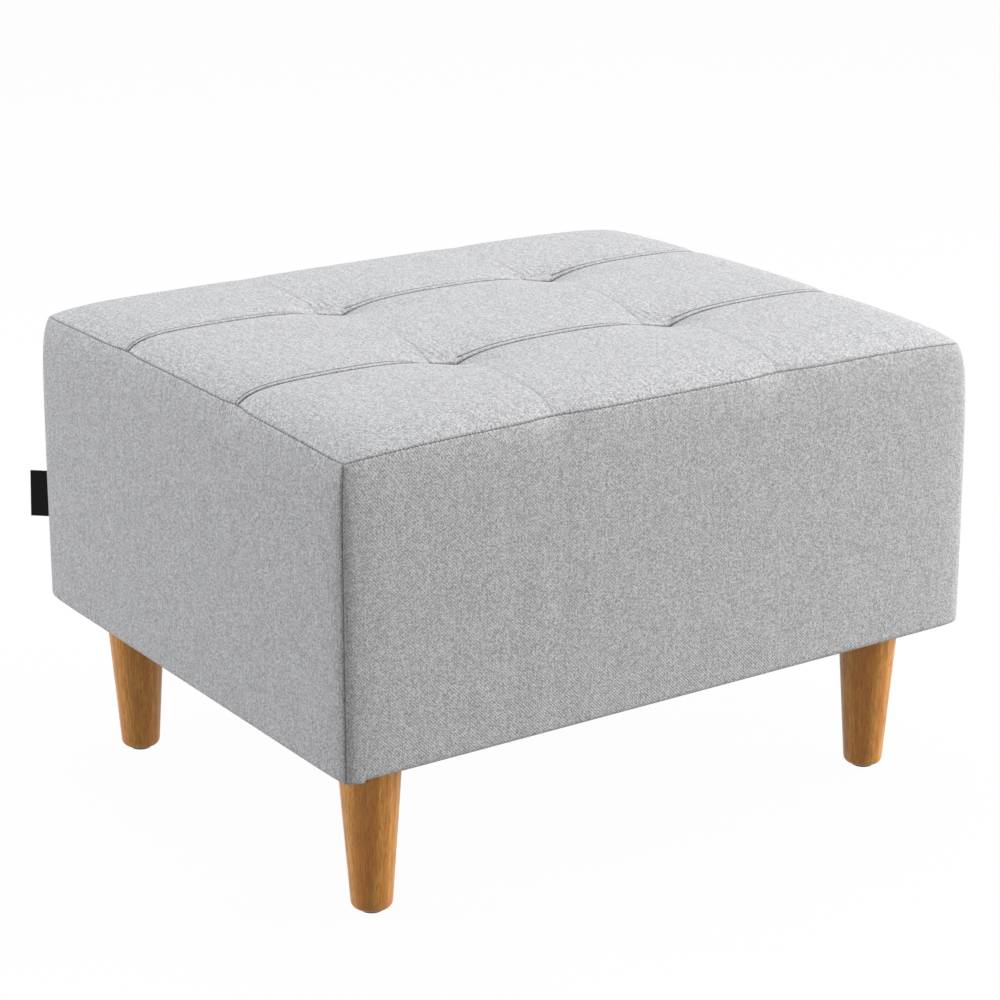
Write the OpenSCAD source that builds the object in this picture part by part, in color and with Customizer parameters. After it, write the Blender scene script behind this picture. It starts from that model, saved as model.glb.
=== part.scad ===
// Upholstered footstool on four turned wooden legs.
// Millimetres, +Z up. The origin is on the floor under the middle of the body.
// +X is the right end, +Y is the back.

/* [Body] */
// Width of the upholstered body, left to right
body_w = 677; // [520:1:900]
// Depth of the body, front to back
body_d = 551; // [430:1:760]
// Height of the edge seam above the floor, at the corners
seam_h = 422; // [370:1:500]
// Height of the underside of the body above the floor
leg_h = 150; // [110:1:200]
// Plan radius of the corners, low on the sides
corner_r = 15; // [14:0.5:22]
// Plan radius of the corners at the edge seam
top_corner_r = 20; // [14:0.5:24]
// Radius of the cover's turn at the bottom edge
hem_r = 6; // [4:0.5:7]
// How far the sides lean in at the edge seam
side_draw = 2.5; // [0:0.5:6]

/* [Top cushion] */
// Rise of the edge seam at the middle of the front and back
bow_long = 6.5; // [0:0.5:12]
// Rise of the edge seam at the middle of the left and right ends
bow_short = 7; // [0:0.5:14]
// Rise of the padding behind the edge seam
roll_h = 9.5; // [2:0.5:16]
// Distance in which the padding rolls up behind the edge seam
roll_len = 15; // [8:1:30]
// Distance of each strip seam from the middle
seam_y = 98; // [70:1:130]
// Distance of each cross crease, and its tufts, from the middle
tuft_x = 117; // [80:1:160]
// Depth of a tuft below the padding round it
tuft_depth = 12; // [2:0.5:14]
// Distance in which a tuft's hollow fades
tuft_reach = 22; // [12:1:34]
// Half the width of the flat pinch at a tuft
tuft_pinch = 12; // [4:1:18]
// Depth of the valley along a strip seam
seam_dip = 2.5; // [0:0.5:5]
// Half width of the valley along a strip seam
seam_dip_w = 8; // [4:1:14]
// Depth of the unsewn cross crease
crease_dip = 2; // [0:0.5:5]
// Half width of the unsewn cross crease
crease_dip_w = 12; // [6:1:20]

/* [Cloth and padding] */
// Thickness of the cover cloth
cloth_t = 1.5; // [1:0.1:2]
// Thickness of the foam on the sides
pad_t = 10; // [8:0.5:12]
// Depth of the wadding below the cloth at the corners
wadding_edge = 3.5; // [2:0.5:6]
// Thickness of the seat foam
foam_t = 70; // [40:1:100]
// Thickness of the cloth that closes the underside
dust_t = 0.6; // [0.4:0.1:1]
// Distance of that cloth's edge from the outside of the body
dust_in = 13; // [10:0.5:15]

/* [Tuft ties] */
// Thickness of the tie cord
tie_d = 2.5; // [1.5:0.1:3.5]
// Bore for a tie through the foam and the deck
tie_bore_d = 6; // [4.5:0.1:9]
// Diameter of the washer under the deck
washer_d = 25; // [16:1:32]
// Thickness of the washer
washer_t = 3; // [2:0.5:5]
// Diameter of the knot under the washer
knot_d = 7; // [5.5:0.5:10]

/* [Frame] */
// Thickness of the plywood side panels
panel_t = 12; // [12:0.5:18]
// Thickness of the seat deck
deck_t = 9; // [8:0.5:15]
// Side of the square corner posts
post_w = 24; // [20:0.5:25]
// Side of the square blocks that hold the legs
block_w = 90; // [80:1:110]
// Thickness of the leg blocks
block_t = 18; // [15:0.5:24]
// Thickness of the rail under the deck
rail_t = 20; // [16:1:30]
// Height of the rail under the deck
rail_h = 45; // [40:1:60]

/* [Legs] */
// Distance of each leg's axis from the sides of the body
leg_inset = 63; // [58:0.5:75]
// Diameter of a leg at the top
leg_top_d = 57; // [40:0.5:60]
// Diameter of a leg at the foot
leg_foot_d = 36.5; // [28:0.5:45]
// Radius of the edge round the foot
foot_edge_r = 6; // [3:0.5:7]
// Diameter of the glide under a leg
glide_d = 21; // [14:0.5:21]
// Thickness of the glide
glide_t = 3; // [2:0.5:5]
// Gap between a leg and the edge of its hole in the underside cloth
leg_gap = 1.5; // [0.5:0.5:3]

/* [Fasteners] */
// Diameter of the hanger bolts
bolt_d = 8; // [6:0.5:8]
// Depth of a hanger bolt in the leg
bolt_in_leg = 36; // [25:1:50]
// Diameter of a tee nut's barrel
nut_d = 10; // [10:0.5:11]
// Length of a tee nut's barrel
nut_l = 12; // [8:1:14]
// Diameter of a tee nut's flange
flange_d = 19; // [16:0.5:20]
// Thickness of a tee nut's flange
flange_t = 1.5; // [1:0.1:2]
// Diameter of the wood screws
screw_d = 4; // [3:0.1:4.5]
// Diameter of their heads
screw_head_d = 8; // [6.5:0.1:9]
// Length of the screws through a panel, the deck or a leg block
screw_l = 30; // [25:1:32]
// Length of the screws into the ends of the rail
long_screw_l = 45; // [40:1:50]
// Diameter of the nail in a glide
nail_d = 2; // [1.5:0.1:2.5]
// Depth of the nail in the leg
nail_l = 14; // [10:1:18]
// Width of a staple
staple_w = 10; // [8:0.5:12]
// Length of a staple's legs
staple_l = 8; // [6:0.5:8]
// Thickness of the staple wire
staple_wire = 0.9; // [0.7:0.1:1.2]
// Staples along the front and along the back
staples_long = 8; // [4:1:12]
// Staples along each end
staples_short = 6; // [4:1:10]

/* [Side label] */
// Height of the label
label_h = 45; // [20:1:60]
// Height of the label's lower edge above the floor
label_z = 230; // [210:1:300]
// How far the label stands out of the corner seam
label_out = 17; // [8:1:20]
// How far the label goes into the corner seam
label_in = 6; // [3:0.5:8]
// Thickness of the folded label
label_t = 1; // [0.6:0.1:1.6]

/* [Hidden] */

// Colours
cloth_grey = "#c6c6ca";
foam_white = "#f3efe2";
foam_yellow = "#ead9a0";
plywood = "#d9b98a";
pine = "#e3c48f";
leg_wood = "#b98550";
black_cloth = "#1c1c1e";
zinc = "#b9bcc0";
black_plastic = "#2a2622";
cord_white = "#efece4";

// The four sides in turn, seen from above, each running counterclockwise
FRONT = 0;
RIGHT = 1;
BACK = 2;
LEFT = 3;

// Levels
frame_z = leg_h + cloth_t;
foam_top = seam_h - cloth_t - wadding_edge;
deck_top = foam_top - foam_t;
deck_under = deck_top - deck_t;
panel_h = deck_under - frame_z;
block_top = frame_z + block_t;

// Plan: the frame stands inside the cloth and the side pads
frame_in = cloth_t + pad_t;
inside_in = frame_in + panel_t;
pad_least = 1;
diagonal = 1 - sin(45);
inner_top_in = side_draw + cloth_t + diagonal * (top_corner_r - cloth_t);
frame_r = max(corner_r - frame_in, (inner_top_in + pad_least - frame_in) / diagonal);
frame_w = body_w - 2 * frame_in;
frame_d = body_d - 2 * frame_in;
inside_w = body_w - 2 * inside_in;
inside_d = body_d - 2 * inside_in;
leg_x = body_w / 2 - leg_inset;
leg_y = body_d / 2 - leg_inset;

// Clearance round a screw, bolt, nut or nail, and round a tie in its washer
fit = 0.05;
tie_fit = 0.1;
// How far a cut runs past the face that it opens
over = 1;

// Grid of the top: lines through the corner arcs, the seams and the creases
arc_cells = 2;
arc_step = 45 / arc_cells;
outer_cells = 6;
middle_cells_x = 8;
middle_cells_y = 6;
top_x = body_w / 2 - side_draw;
top_y = body_d / 2 - side_draw;
run_x = top_x - top_corner_r;
run_y = top_y - top_corner_r;
function eased(a, b, i, n) = a + (b - a) * (1 - cos(180 * i / n)) / 2;
function run_lines(run, line, middle) = concat(
  [for (i = [0 : outer_cells - 1]) eased(-run, -line, i, outer_cells)],
  [for (i = [0 : middle - 1]) eased(-line, line, i, middle)],
  [for (i = [0 : outer_cells]) eased(line, run, i, outer_cells)]);
function grid_lines(run, line, middle) =
  let (arc = run + top_corner_r * sin(arc_step), edge = run + top_corner_r)
  concat([-edge, -arc], run_lines(run, line, middle), [arc, edge]);
lines_x = grid_lines(run_x, tuft_x, middle_cells_x);
lines_y = grid_lines(run_y, seam_y, middle_cells_y);
cols = len(lines_x) - 1;
rows = len(lines_y) - 1;
front_seam_row = arc_cells + outer_cells;
back_seam_row = front_seam_row + middle_cells_y;

// Height of the outer face of the top at a point
function fourth(v) = v * v * v * v;
function bell(d, w) = exp(-d * d / (w * w));
function rolled(inside) = 1 - exp(-max(inside, 0) / roll_len);
function pinch_gap(x, y) = norm([
  max(0, abs(abs(x) - tuft_x) - tuft_pinch), abs(y) - seam_y]);
function top_z(x, y) =
  let (edge = rolled(top_x - abs(x)) * rolled(top_y - abs(y)))
  seam_h + bow_long * (1 - fourth(x / top_x)) + bow_short * (1 - fourth(y / top_y))
  + edge * roll_h
  - edge * seam_dip * bell(abs(y) - seam_y, seam_dip_w)
  - edge * crease_dip * bell(abs(x) - tuft_x, crease_dip_w)
  - tuft_depth * exp(-pinch_gap(x, y) / tuft_reach);

// A point of a rounded rectangle, by side and place along it, at an inset from the body
function cells_along(side) = side % 2 == 0 ? cols : rows;
function line_along(side, i) = side % 2 == 0 ? lines_x[i] / run_x : lines_y[i] / run_y;
function half_along(side) = (side % 2 == 0 ? body_w : body_d) / 2;
function half_out(side) = (side % 2 == 0 ? body_d : body_w) / 2;
function turned(side, a, b) =
  side == FRONT ? [a, -b] : side == RIGHT ? [b, a] : side == BACK ? [-a, b] : [-b, -a];
function edge_point(side, i, inset, r) =
  let (
    n = cells_along(side),
    from_end = min(i, n - i),
    way = i < n / 2 ? -1 : 1,
    run = half_along(side) - inset - r,
    angle = max(0, arc_cells - from_end) * arc_step,
    along = from_end < arc_cells ? way * (run + r * sin(angle)) : line_along(side, i) * run,
    out = half_out(side) - inset - r + r * cos(angle)
  )
  turned(side, along, out);

// A point of the top's grid, at a depth below its outer face
function grid_point(i, j, inset, r) =
  j == 0 ? edge_point(FRONT, i, inset, r)
  : i == cols ? edge_point(RIGHT, j, inset, r)
  : j == rows ? edge_point(BACK, cols - i, inset, r)
  : i == 0 ? edge_point(LEFT, rows - j, inset, r)
  : [lines_x[i], lines_y[j]];
function top_point(i, j, depth) =
  let (
    p = grid_point(i, j, side_draw + depth, top_corner_r - depth),
    outer = grid_point(i, j, side_draw, top_corner_r)
  )
  [p.x, p.y, top_z(outer.x, outer.y) - depth];
function top_rows(first, last, depth) =
  [for (j = [first : last]) [for (i = [0 : cols]) top_point(i, j, depth)]];

// Rows of a side, from the hem's end under the frame up to the edge seam
hem_rows = 3;
side_rows = 3;
seam_row = hem_rows + side_rows;
// Plan radius of the hem where it lies flat under the frame
flat_hem_r = 2;
function up(k) = (k - hem_rows) / side_rows;
function side_inset(k, depth) =
  k == 0 ? inside_in
  : k <= hem_rows ? hem_r - (hem_r - depth) * sin(90 * (k - 1) / (hem_rows - 1))
  : side_draw * up(k) * up(k) + depth;
function side_radius(k, depth) =
  k <= hem_rows ? max(flat_hem_r, corner_r - side_inset(k, depth))
  : corner_r + (top_corner_r - corner_r) * up(k) * up(k) - depth;
function side_z(side, i, k, depth) =
  let (
    seam = edge_point(side, i, side_draw, top_corner_r),
    low = leg_h + hem_r
  )
  k == 0 ? leg_h + depth
  : k <= hem_rows ? low - (hem_r - depth) * cos(90 * (k - 1) / (hem_rows - 1))
  : k < seam_row ? low + up(k) * (top_z(seam.x, seam.y) - low)
  : top_z(seam.x, seam.y) - depth;
function side_row(side, k, depth) = [
  for (i = [0 : cells_along(side)])
    let (p = edge_point(side, i, side_inset(k, depth), side_radius(k, depth)))
    [p.x, p.y, side_z(side, i, k, depth)]];
function pad_row(side, k) = [
  for (i = [0 : cells_along(side)])
    let (p = edge_point(side, i, frame_in, frame_r))
    [p.x, p.y, k == seam_row ? foam_top : side_z(side, i, k, cloth_t)]];

// Faces of a grid of points that starts at one number, seen from its outer side
function grid_faces(first, n, m) = [
  for (j = [0 : m - 1], i = [0 : n - 1])
    let (a = first + j * (n + 1) + i, b = a + 1, d = a + n + 1, c = d + 1)
    each [[a, c, b], [a, d, c]]];
function flipped(faces) = [for (f = faces) [f[0], f[2], f[1]]];
function rim_loop(n, m) = concat(
  [for (i = [0 : n - 1]) i],
  [for (j = [0 : m - 1]) j * (n + 1) + n],
  [for (i = [n : -1 : 1]) m * (n + 1) + i],
  [for (j = [m : -1 : 1]) j * (n + 1)]);

// A sheet between an outer and an inner grid of points
module sheet_solid(outer, inner) {
  n = len(outer[0]) - 1;
  m = len(outer) - 1;
  size = (n + 1) * (m + 1);
  loop = rim_loop(n, m);
  rim = [
    for (k = [0 : len(loop) - 1])
      let (p = loop[k], q = loop[(k + 1) % len(loop)])
      each [[p, q, q + size], [p, q + size, p + size]]];
  polyhedron(
    points = concat([for (row = outer) each row], [for (row = inner) each row]),
    faces = concat(grid_faces(0, n, m), flipped(grid_faces(size, n, m)), rim));
}

// Cover
module cover_top(first, last) {
  color(cloth_grey) sheet_solid(top_rows(first, last, 0), top_rows(first, last, cloth_t));
}

module cover_side(side) {
  color(cloth_grey) difference() {
    sheet_solid(
      [for (k = [0 : seam_row]) side_row(side, k, 0)],
      [for (k = [0 : seam_row]) side_row(side, k, cloth_t)]);
    if (side == BACK || side == LEFT) label_solid();
    if (side == FRONT || side == BACK) long_staples(side == FRONT ? -1 : 1);
    if (side == LEFT || side == RIGHT) end_staples(side == LEFT ? -1 : 1);
  }
}

// The folded label is sewn into the seam of the back left corner
module label_solid() {
  share = (label_z + label_h / 2 - leg_h - hem_r) / (seam_h - leg_h - hem_r);
  corner = side_draw * share * share
    + diagonal * (corner_r + (top_corner_r - corner_r) * share * share);
  translate([-body_w / 2 + corner, body_d / 2 - corner, label_z])
    rotate([0, 0, 135])
      translate([-label_in, -label_t / 2, 0]) cube([label_in + label_out, label_t, label_h]);
}

module side_label() color(black_cloth) label_solid();

// Plate with the outline of the frame
module rounded_plate(w, d, r, h) {
  linear_extrude(h) union() {
    square([w - 2 * r, d], center = true);
    square([w, d - 2 * r], center = true);
    for (sx = [-1, 1], sy = [-1, 1])
      translate([sx * (w / 2 - r), sy * (d / 2 - r)]) circle(r, $fn = 48);
  }
}

module at_legs() {
  for (sx = [-1, 1], sy = [-1, 1]) translate([sx * leg_x, sy * leg_y, 0]) children();
}

module dust_cover() {
  color(black_cloth) difference() {
    translate([0, 0, leg_h - dust_t])
      rounded_plate(body_w - 2 * dust_in, body_d - 2 * dust_in, flat_hem_r, dust_t);
    at_legs() translate([0, 0, leg_h - dust_t - over])
      cylinder(h = dust_t + 2 * over, d = leg_top_d + 2 * leg_gap, $fn = 64);
    for (way = [-1, 1]) {
      long_staples(way);
      end_staples(way);
    }
  }
}

// Middle of the panels, where the staples and the deck screws go in
panel_mid = frame_in + panel_t / 2;

// Staples up through both cloths into the edges of the panels
module staple() {
  translate([-staple_w / 2, -staple_wire / 2, -staple_wire])
    cube([staple_w, staple_wire, staple_wire]);
  for (end = [-1, 1])
    translate([end * (staple_w - staple_wire) / 2 - staple_wire / 2, -staple_wire / 2,
      -staple_wire]) cube([staple_wire, staple_wire, staple_wire + staple_l]);
}

module staple_row(length, n) {
  for (i = [0 : n - 1])
    translate([((i + 0.5) / n - 0.5) * length, 0, 0]) staple();
}

module long_staples(sy) {
  translate([0, sy * (body_d / 2 - panel_mid), leg_h - dust_t])
    staple_row(frame_w, staples_long);
}

module end_staples(sx) {
  translate([sx * (body_w / 2 - panel_mid), 0, leg_h - dust_t])
    rotate([0, 0, 90]) staple_row(inside_d, staples_short);
}

module staples() {
  color(zinc) for (way = [-1, 1]) {
    long_staples(way);
    end_staples(way);
  }
}

// Padding
module at_tufts() {
  for (sx = [-1, 1], sy = [-1, 1]) translate([sx * tuft_x, sy * seam_y, 0]) children();
}

module tie_bores(low, height) {
  at_tufts() translate([0, 0, low - over])
    cylinder(h = height + 2 * over, d = tie_bore_d, $fn = 32);
}

module top_wadding() {
  size = (cols + 1) * (rows + 1);
  loop = rim_loop(cols, rows);
  turns = len(loop);
  base = [
    for (side = [FRONT : LEFT], i = [0 : cells_along(side) - 1])
      let (p = edge_point(side, i, frame_in, frame_r)) [p.x, p.y, foam_top]];
  slope = [
    for (k = [0 : turns - 1])
      let (next = (k + 1) % turns, p = loop[k], q = loop[next])
      each [[p, q, size + k], [q, size + next, size + k]]];
  under = [for (k = [0 : turns - 1]) [size + k, size + (k + 1) % turns, size + turns]];
  color(foam_white) difference() {
    polyhedron(
      points = concat(
        [for (row = top_rows(0, rows, cloth_t)) each row], base, [[0, 0, foam_top]]),
      faces = concat(grid_faces(0, cols, rows), slope, under));
    tie_bores(foam_top, seam_h - foam_top + bow_long + bow_short + roll_h);
  }
}

module seat_foam() {
  color(foam_yellow) difference() {
    translate([0, 0, deck_top]) rounded_plate(frame_w, frame_d, frame_r, foam_t);
    tie_bores(deck_top, foam_t);
  }
}

module pad(side) {
  color(foam_yellow) difference() {
    sheet_solid(
      [for (k = [1 : seam_row]) side_row(side, k, cloth_t)],
      [for (k = [1 : seam_row]) pad_row(side, k)]);
    if (side == BACK || side == LEFT) label_solid();
  }
}

// Ties from the seams down through the deck, each knotted under a washer
module tuft_ties() {
  tie_low = deck_under - washer_t - knot_d;
  tie_top = top_z(tuft_x, seam_y) - cloth_t;
  color(cord_white) at_tufts() union() {
    translate([0, 0, tie_low + knot_d / 2]) sphere(d = knot_d, $fn = 32);
    translate([0, 0, tie_low + knot_d / 2])
      cylinder(h = tie_top - tie_low - knot_d / 2, d = tie_d, $fn = 32);
  }
}

module tuft_washers() {
  color(black_plastic) at_tufts() translate([0, 0, deck_under - washer_t]) difference() {
    cylinder(h = washer_t, d = washer_d, $fn = 48);
    translate([0, 0, -over])
      cylinder(h = washer_t + 2 * over, d = tie_d + 2 * tie_fit, $fn = 32);
  }
}

// A countersunk screw from its head down, or the hole for it, which opens past the head
module screw_body(length, grow) {
  r = screw_d / 2 + grow;
  head_r = screw_head_d / 2 + grow;
  head_h = (screw_head_d - screw_d) / 2;
  opening = grow > 0 ? [[0, over], [head_r, over]] : [[0, 0]];
  rotate_extrude($fn = 32)
    polygon(concat(
      opening, [[head_r, 0], [r, -head_h], [r, screw_d - length], [0, -length - grow]]));
}

// Screws through the panels into the posts, those of the end panels a little higher
post_mid = inside_in + post_w / 2;
screw_stagger = 14;
post_screws = 3;
module panel_screw_bodies(sx, sy, grow) {
  for (k = [0 : post_screws - 1]) {
    z = block_top + (deck_under - block_top) * (k + 0.5) / post_screws;
    translate([sx * (body_w / 2 - post_mid), sy * (body_d / 2 - frame_in), z])
      rotate([-90 * sy, 0, 0]) screw_body(screw_l, grow);
    translate([sx * (body_w / 2 - frame_in), sy * (body_d / 2 - post_mid), z + screw_stagger])
      rotate([0, 90 * sx, 0]) screw_body(screw_l, grow);
  }
}

// Screws through the deck into the top edges of the panels and the rail
deck_screws_long = 4;
deck_screws_short = 3;
module long_deck_screws(sy, grow) {
  for (k = [0 : deck_screws_long - 1])
    translate([inside_w * ((k + 0.5) / deck_screws_long - 0.5),
      sy * (body_d / 2 - panel_mid), deck_top]) screw_body(screw_l, grow);
}

module end_deck_screws(sx, grow) {
  for (k = [0 : deck_screws_short - 1])
    translate([sx * (body_w / 2 - panel_mid),
      inside_d * ((k + 0.5) / deck_screws_short - 0.5), deck_top]) screw_body(screw_l, grow);
}

module rail_deck_screws(grow) {
  for (sy = [-1, 1])
    translate([0, sy * inside_d / 4, deck_top]) screw_body(screw_l, grow);
}

module deck_screw_bodies(grow) {
  for (way = [-1, 1]) {
    long_deck_screws(way, grow);
    end_deck_screws(way, grow);
  }
  rail_deck_screws(grow);
}

// Screws through the front and back panels into the ends of the rail
module rail_screw_bodies(sy, grow) {
  for (way = [-1, 1])
    translate([0, sy * (body_d / 2 - frame_in), deck_under - rail_h / 2 + way * rail_h / 4])
      rotate([-90 * sy, 0, 0]) screw_body(long_screw_l, grow);
}

// Screws up through each leg block into its post, and through both panels into the block
block_screw_edge = 16;
block_screw_in = inside_in + block_w - block_screw_edge;
module block_screw_bodies(sx, sy, grow) {
  translate([sx * (body_w / 2 - post_mid), sy * (body_d / 2 - post_mid), frame_z])
    rotate([180, 0, 0]) screw_body(screw_l, grow);
  translate([sx * (body_w / 2 - block_screw_in), sy * (body_d / 2 - frame_in),
    frame_z + block_t / 2]) rotate([-90 * sy, 0, 0]) screw_body(screw_l, grow);
  translate([sx * (body_w / 2 - frame_in), sy * (body_d / 2 - block_screw_in),
    frame_z + block_t / 2]) rotate([0, 90 * sx, 0]) screw_body(screw_l, grow);
}

module panel_screws() {
  color(zinc) for (sx = [-1, 1], sy = [-1, 1]) panel_screw_bodies(sx, sy, 0);
}

module deck_screws() color(zinc) deck_screw_bodies(0);

module rail_screws() {
  color(zinc) for (sy = [-1, 1]) rail_screw_bodies(sy, 0);
}

module block_screws() {
  color(zinc) for (sx = [-1, 1], sy = [-1, 1]) block_screw_bodies(sx, sy, 0);
}

// Frame
module seat_deck() {
  color(plywood) difference() {
    translate([0, 0, deck_under]) rounded_plate(frame_w, frame_d, frame_r, deck_t);
    tie_bores(deck_under, deck_t);
    deck_screw_bodies(fit);
  }
}

module deck_rail() {
  color(pine) difference() {
    translate([-rail_t / 2, -inside_d / 2, deck_under - rail_h])
      cube([rail_t, inside_d, rail_h]);
    rail_deck_screws(fit);
    for (sy = [-1, 1]) rail_screw_bodies(sy, fit);
  }
}

// The front and back panels run the full width
module long_panel(sy) {
  color(plywood) difference() {
    intersection() {
      translate([0, 0, frame_z]) rounded_plate(frame_w, frame_d, frame_r, panel_h);
      translate([-body_w / 2, sy > 0 ? inside_d / 2 : -body_d / 2, frame_z])
        cube([body_w, (body_d - inside_d) / 2, panel_h]);
    }
    for (sx = [-1, 1]) {
      panel_screw_bodies(sx, sy, fit);
      block_screw_bodies(sx, sy, fit);
    }
    long_deck_screws(sy, fit);
    rail_screw_bodies(sy, fit);
    long_staples(sy);
  }
}

// The end panels stand between them
module end_panel(sx) {
  color(plywood) difference() {
    translate([sx * (inside_w + panel_t) / 2, 0, frame_z + panel_h / 2])
      cube([panel_t, inside_d, panel_h], center = true);
    for (sy = [-1, 1]) {
      panel_screw_bodies(sx, sy, fit);
      block_screw_bodies(sx, sy, fit);
    }
    end_deck_screws(sx, fit);
    end_staples(sx);
  }
}

module post(sx, sy) {
  post_h = deck_under - block_top;
  color(pine) difference() {
    translate([sx * (inside_w - post_w) / 2, sy * (inside_d - post_w) / 2, block_top + post_h / 2])
      cube([post_w, post_w, post_h], center = true);
    panel_screw_bodies(sx, sy, fit);
    block_screw_bodies(sx, sy, fit);
  }
}

module leg_block(sx, sy) {
  color(plywood) difference() {
    translate([sx * (inside_w - block_w) / 2, sy * (inside_d - block_w) / 2, frame_z + block_t / 2])
      cube([block_w, block_w, block_t], center = true);
    translate([sx * leg_x, sy * leg_y, frame_z - over])
      cylinder(h = block_t + 2 * over, d = nut_d + 2 * fit, $fn = 48);
    block_screw_bodies(sx, sy, fit);
  }
}

// Leg fixings
module tee_nuts() {
  color(zinc) at_legs() difference() {
    union() {
      translate([0, 0, block_top]) cylinder(h = flange_t, d = flange_d, $fn = 48);
      translate([0, 0, block_top - nut_l]) cylinder(h = nut_l, d = nut_d, $fn = 48);
    }
    translate([0, 0, block_top - nut_l - over])
      cylinder(h = nut_l + flange_t + 2 * over, d = bolt_d + 2 * fit, $fn = 48);
  }
}

// Hanger bolt: pointed in the leg, bevelled where it passes the nut
bolt_past_nut = 4;
bolt_bevel = 1;
module bolt_body(grow) {
  r = bolt_d / 2 + grow;
  bottom = frame_z - bolt_in_leg - grow;
  top = block_top + flange_t + bolt_past_nut;
  rotate_extrude($fn = 48)
    polygon([
      [0, bottom], [r, bottom + bolt_d], [r, top - bolt_bevel], [r - bolt_bevel, top], [0, top]]);
}

module hanger_bolts() color(zinc) at_legs() bolt_body(0);

// Turned leg: a straight taper with a rounded foot edge
foot_edge_steps = 8;
module leg(sx, sy) {
  foot_r = leg_foot_d / 2;
  taper = atan((leg_top_d - leg_foot_d) / 2 / (frame_z - glide_t));
  edge = [
    for (k = [0 : foot_edge_steps])
      let (a = -90 + (90 - taper) * k / foot_edge_steps)
      [foot_r - foot_edge_r + foot_edge_r * cos(a), glide_t + foot_edge_r * (1 + sin(a))]];
  color(leg_wood) translate([sx * leg_x, sy * leg_y, 0]) difference() {
    rotate_extrude($fn = 96)
      polygon(concat([[0, glide_t]], edge, [[leg_top_d / 2, frame_z], [0, frame_z]]));
    bolt_body(fit);
    nail_body(fit);
  }
}

// The nail's head is moulded into the glide
nail_head_d = 8;
nail_head_t = 1;
module nail_body(grow) {
  r = nail_d / 2 + grow;
  head_r = nail_head_d / 2;
  head_low = (glide_t - nail_head_t) / 2;
  rotate_extrude($fn = 32)
    polygon([
      [0, head_low], [head_r, head_low], [head_r, head_low + nail_head_t],
      [r, head_low + nail_head_t], [r, glide_t + nail_l - nail_d], [0, glide_t + nail_l + grow]]);
}

module glide_nails() color(zinc) at_legs() nail_body(0);

module glide(sx, sy) {
  r = glide_d / 2;
  bevel = glide_t / 4;
  color(black_plastic) translate([sx * leg_x, sy * leg_y, 0]) difference() {
    rotate_extrude($fn = 64)
      polygon([[0, 0], [r - bevel, 0], [r, bevel], [r, glide_t], [0, glide_t]]);
    nail_body(0);
  }
}

cover_top(0, front_seam_row);  // cover_top_front
cover_top(front_seam_row, back_seam_row);  // cover_top_middle
cover_top(back_seam_row, rows);  // cover_top_back
cover_side(FRONT);  // cover_front
cover_side(RIGHT);  // cover_right
cover_side(BACK);  // cover_back
cover_side(LEFT);  // cover_left
side_label();
dust_cover();
staples();
top_wadding();
seat_foam();
pad(FRONT);  // pad_front
pad(RIGHT);  // pad_right
pad(BACK);  // pad_back
pad(LEFT);  // pad_left
tuft_ties();
tuft_washers();
seat_deck();
deck_rail();
long_panel(-1);  // panel_front
end_panel(1);  // panel_right
long_panel(1);  // panel_back
end_panel(-1);  // panel_left
post(-1, -1);  // post_front_left
post(1, -1);  // post_front_right
post(-1, 1);  // post_back_left
post(1, 1);  // post_back_right
leg_block(-1, -1);  // leg_block_front_left
leg_block(1, -1);  // leg_block_front_right
leg_block(-1, 1);  // leg_block_back_left
leg_block(1, 1);  // leg_block_back_right
panel_screws();
deck_screws();
rail_screws();
block_screws();
tee_nuts();
hanger_bolts();
leg(-1, -1);  // leg_front_left
leg(1, -1);  // leg_front_right
leg(-1, 1);  // leg_back_left
leg(1, 1);  // leg_back_right
glide(-1, -1);  // glide_front_left
glide(1, -1);  // glide_front_right
glide(-1, 1);  // glide_back_left
glide(1, 1);  // glide_back_right
glide_nails();
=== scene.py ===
import math

import bmesh
import bpy
import numpy as np
from mathutils import Matrix, Vector


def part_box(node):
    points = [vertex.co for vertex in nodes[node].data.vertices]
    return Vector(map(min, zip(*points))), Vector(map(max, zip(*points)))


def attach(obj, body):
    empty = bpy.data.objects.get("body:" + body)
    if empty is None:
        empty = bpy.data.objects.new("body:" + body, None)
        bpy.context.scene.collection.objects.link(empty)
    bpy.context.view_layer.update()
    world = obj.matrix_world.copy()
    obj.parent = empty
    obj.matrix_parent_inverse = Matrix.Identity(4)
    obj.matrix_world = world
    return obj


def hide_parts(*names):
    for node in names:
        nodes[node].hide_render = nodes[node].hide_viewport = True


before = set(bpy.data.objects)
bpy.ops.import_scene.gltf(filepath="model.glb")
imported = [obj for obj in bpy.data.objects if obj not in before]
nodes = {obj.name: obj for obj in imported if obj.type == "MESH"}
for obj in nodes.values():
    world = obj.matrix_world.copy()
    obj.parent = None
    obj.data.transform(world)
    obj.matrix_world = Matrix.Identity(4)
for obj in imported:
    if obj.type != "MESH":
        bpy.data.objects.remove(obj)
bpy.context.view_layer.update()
mm = 0.001


# Frame: plywood deck, side panels and leg blocks on pine posts, with a pine rail under the deck.
# The plywood is birch faced, sawn, with its plies showing on the cut edges. The pine is planed.
def linear(hex_colour):
    """An sRGB hex colour as linear red, green, blue and alpha."""
    parts = [int(hex_colour[i:i + 2], 16) / 255 for i in (1, 3, 5)]
    return [c / 12.92 if c <= 0.04045 else ((c + 0.055) / 1.055) ** 2.4 for c in parts] + [1]


def add_node(tree, kind, inputs=(), **settings):
    """Adds a node. inputs maps a socket's name or number to a value or to an output."""
    added = tree.nodes.new("ShaderNode" + kind)
    for name, value in settings.items():
        setattr(added, name, value)
    for key, value in dict(inputs).items():
        if isinstance(value, bpy.types.NodeSocket):
            tree.links.new(value, added.inputs[key])
        else:
            added.inputs[key].default_value = value
    return added


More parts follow.
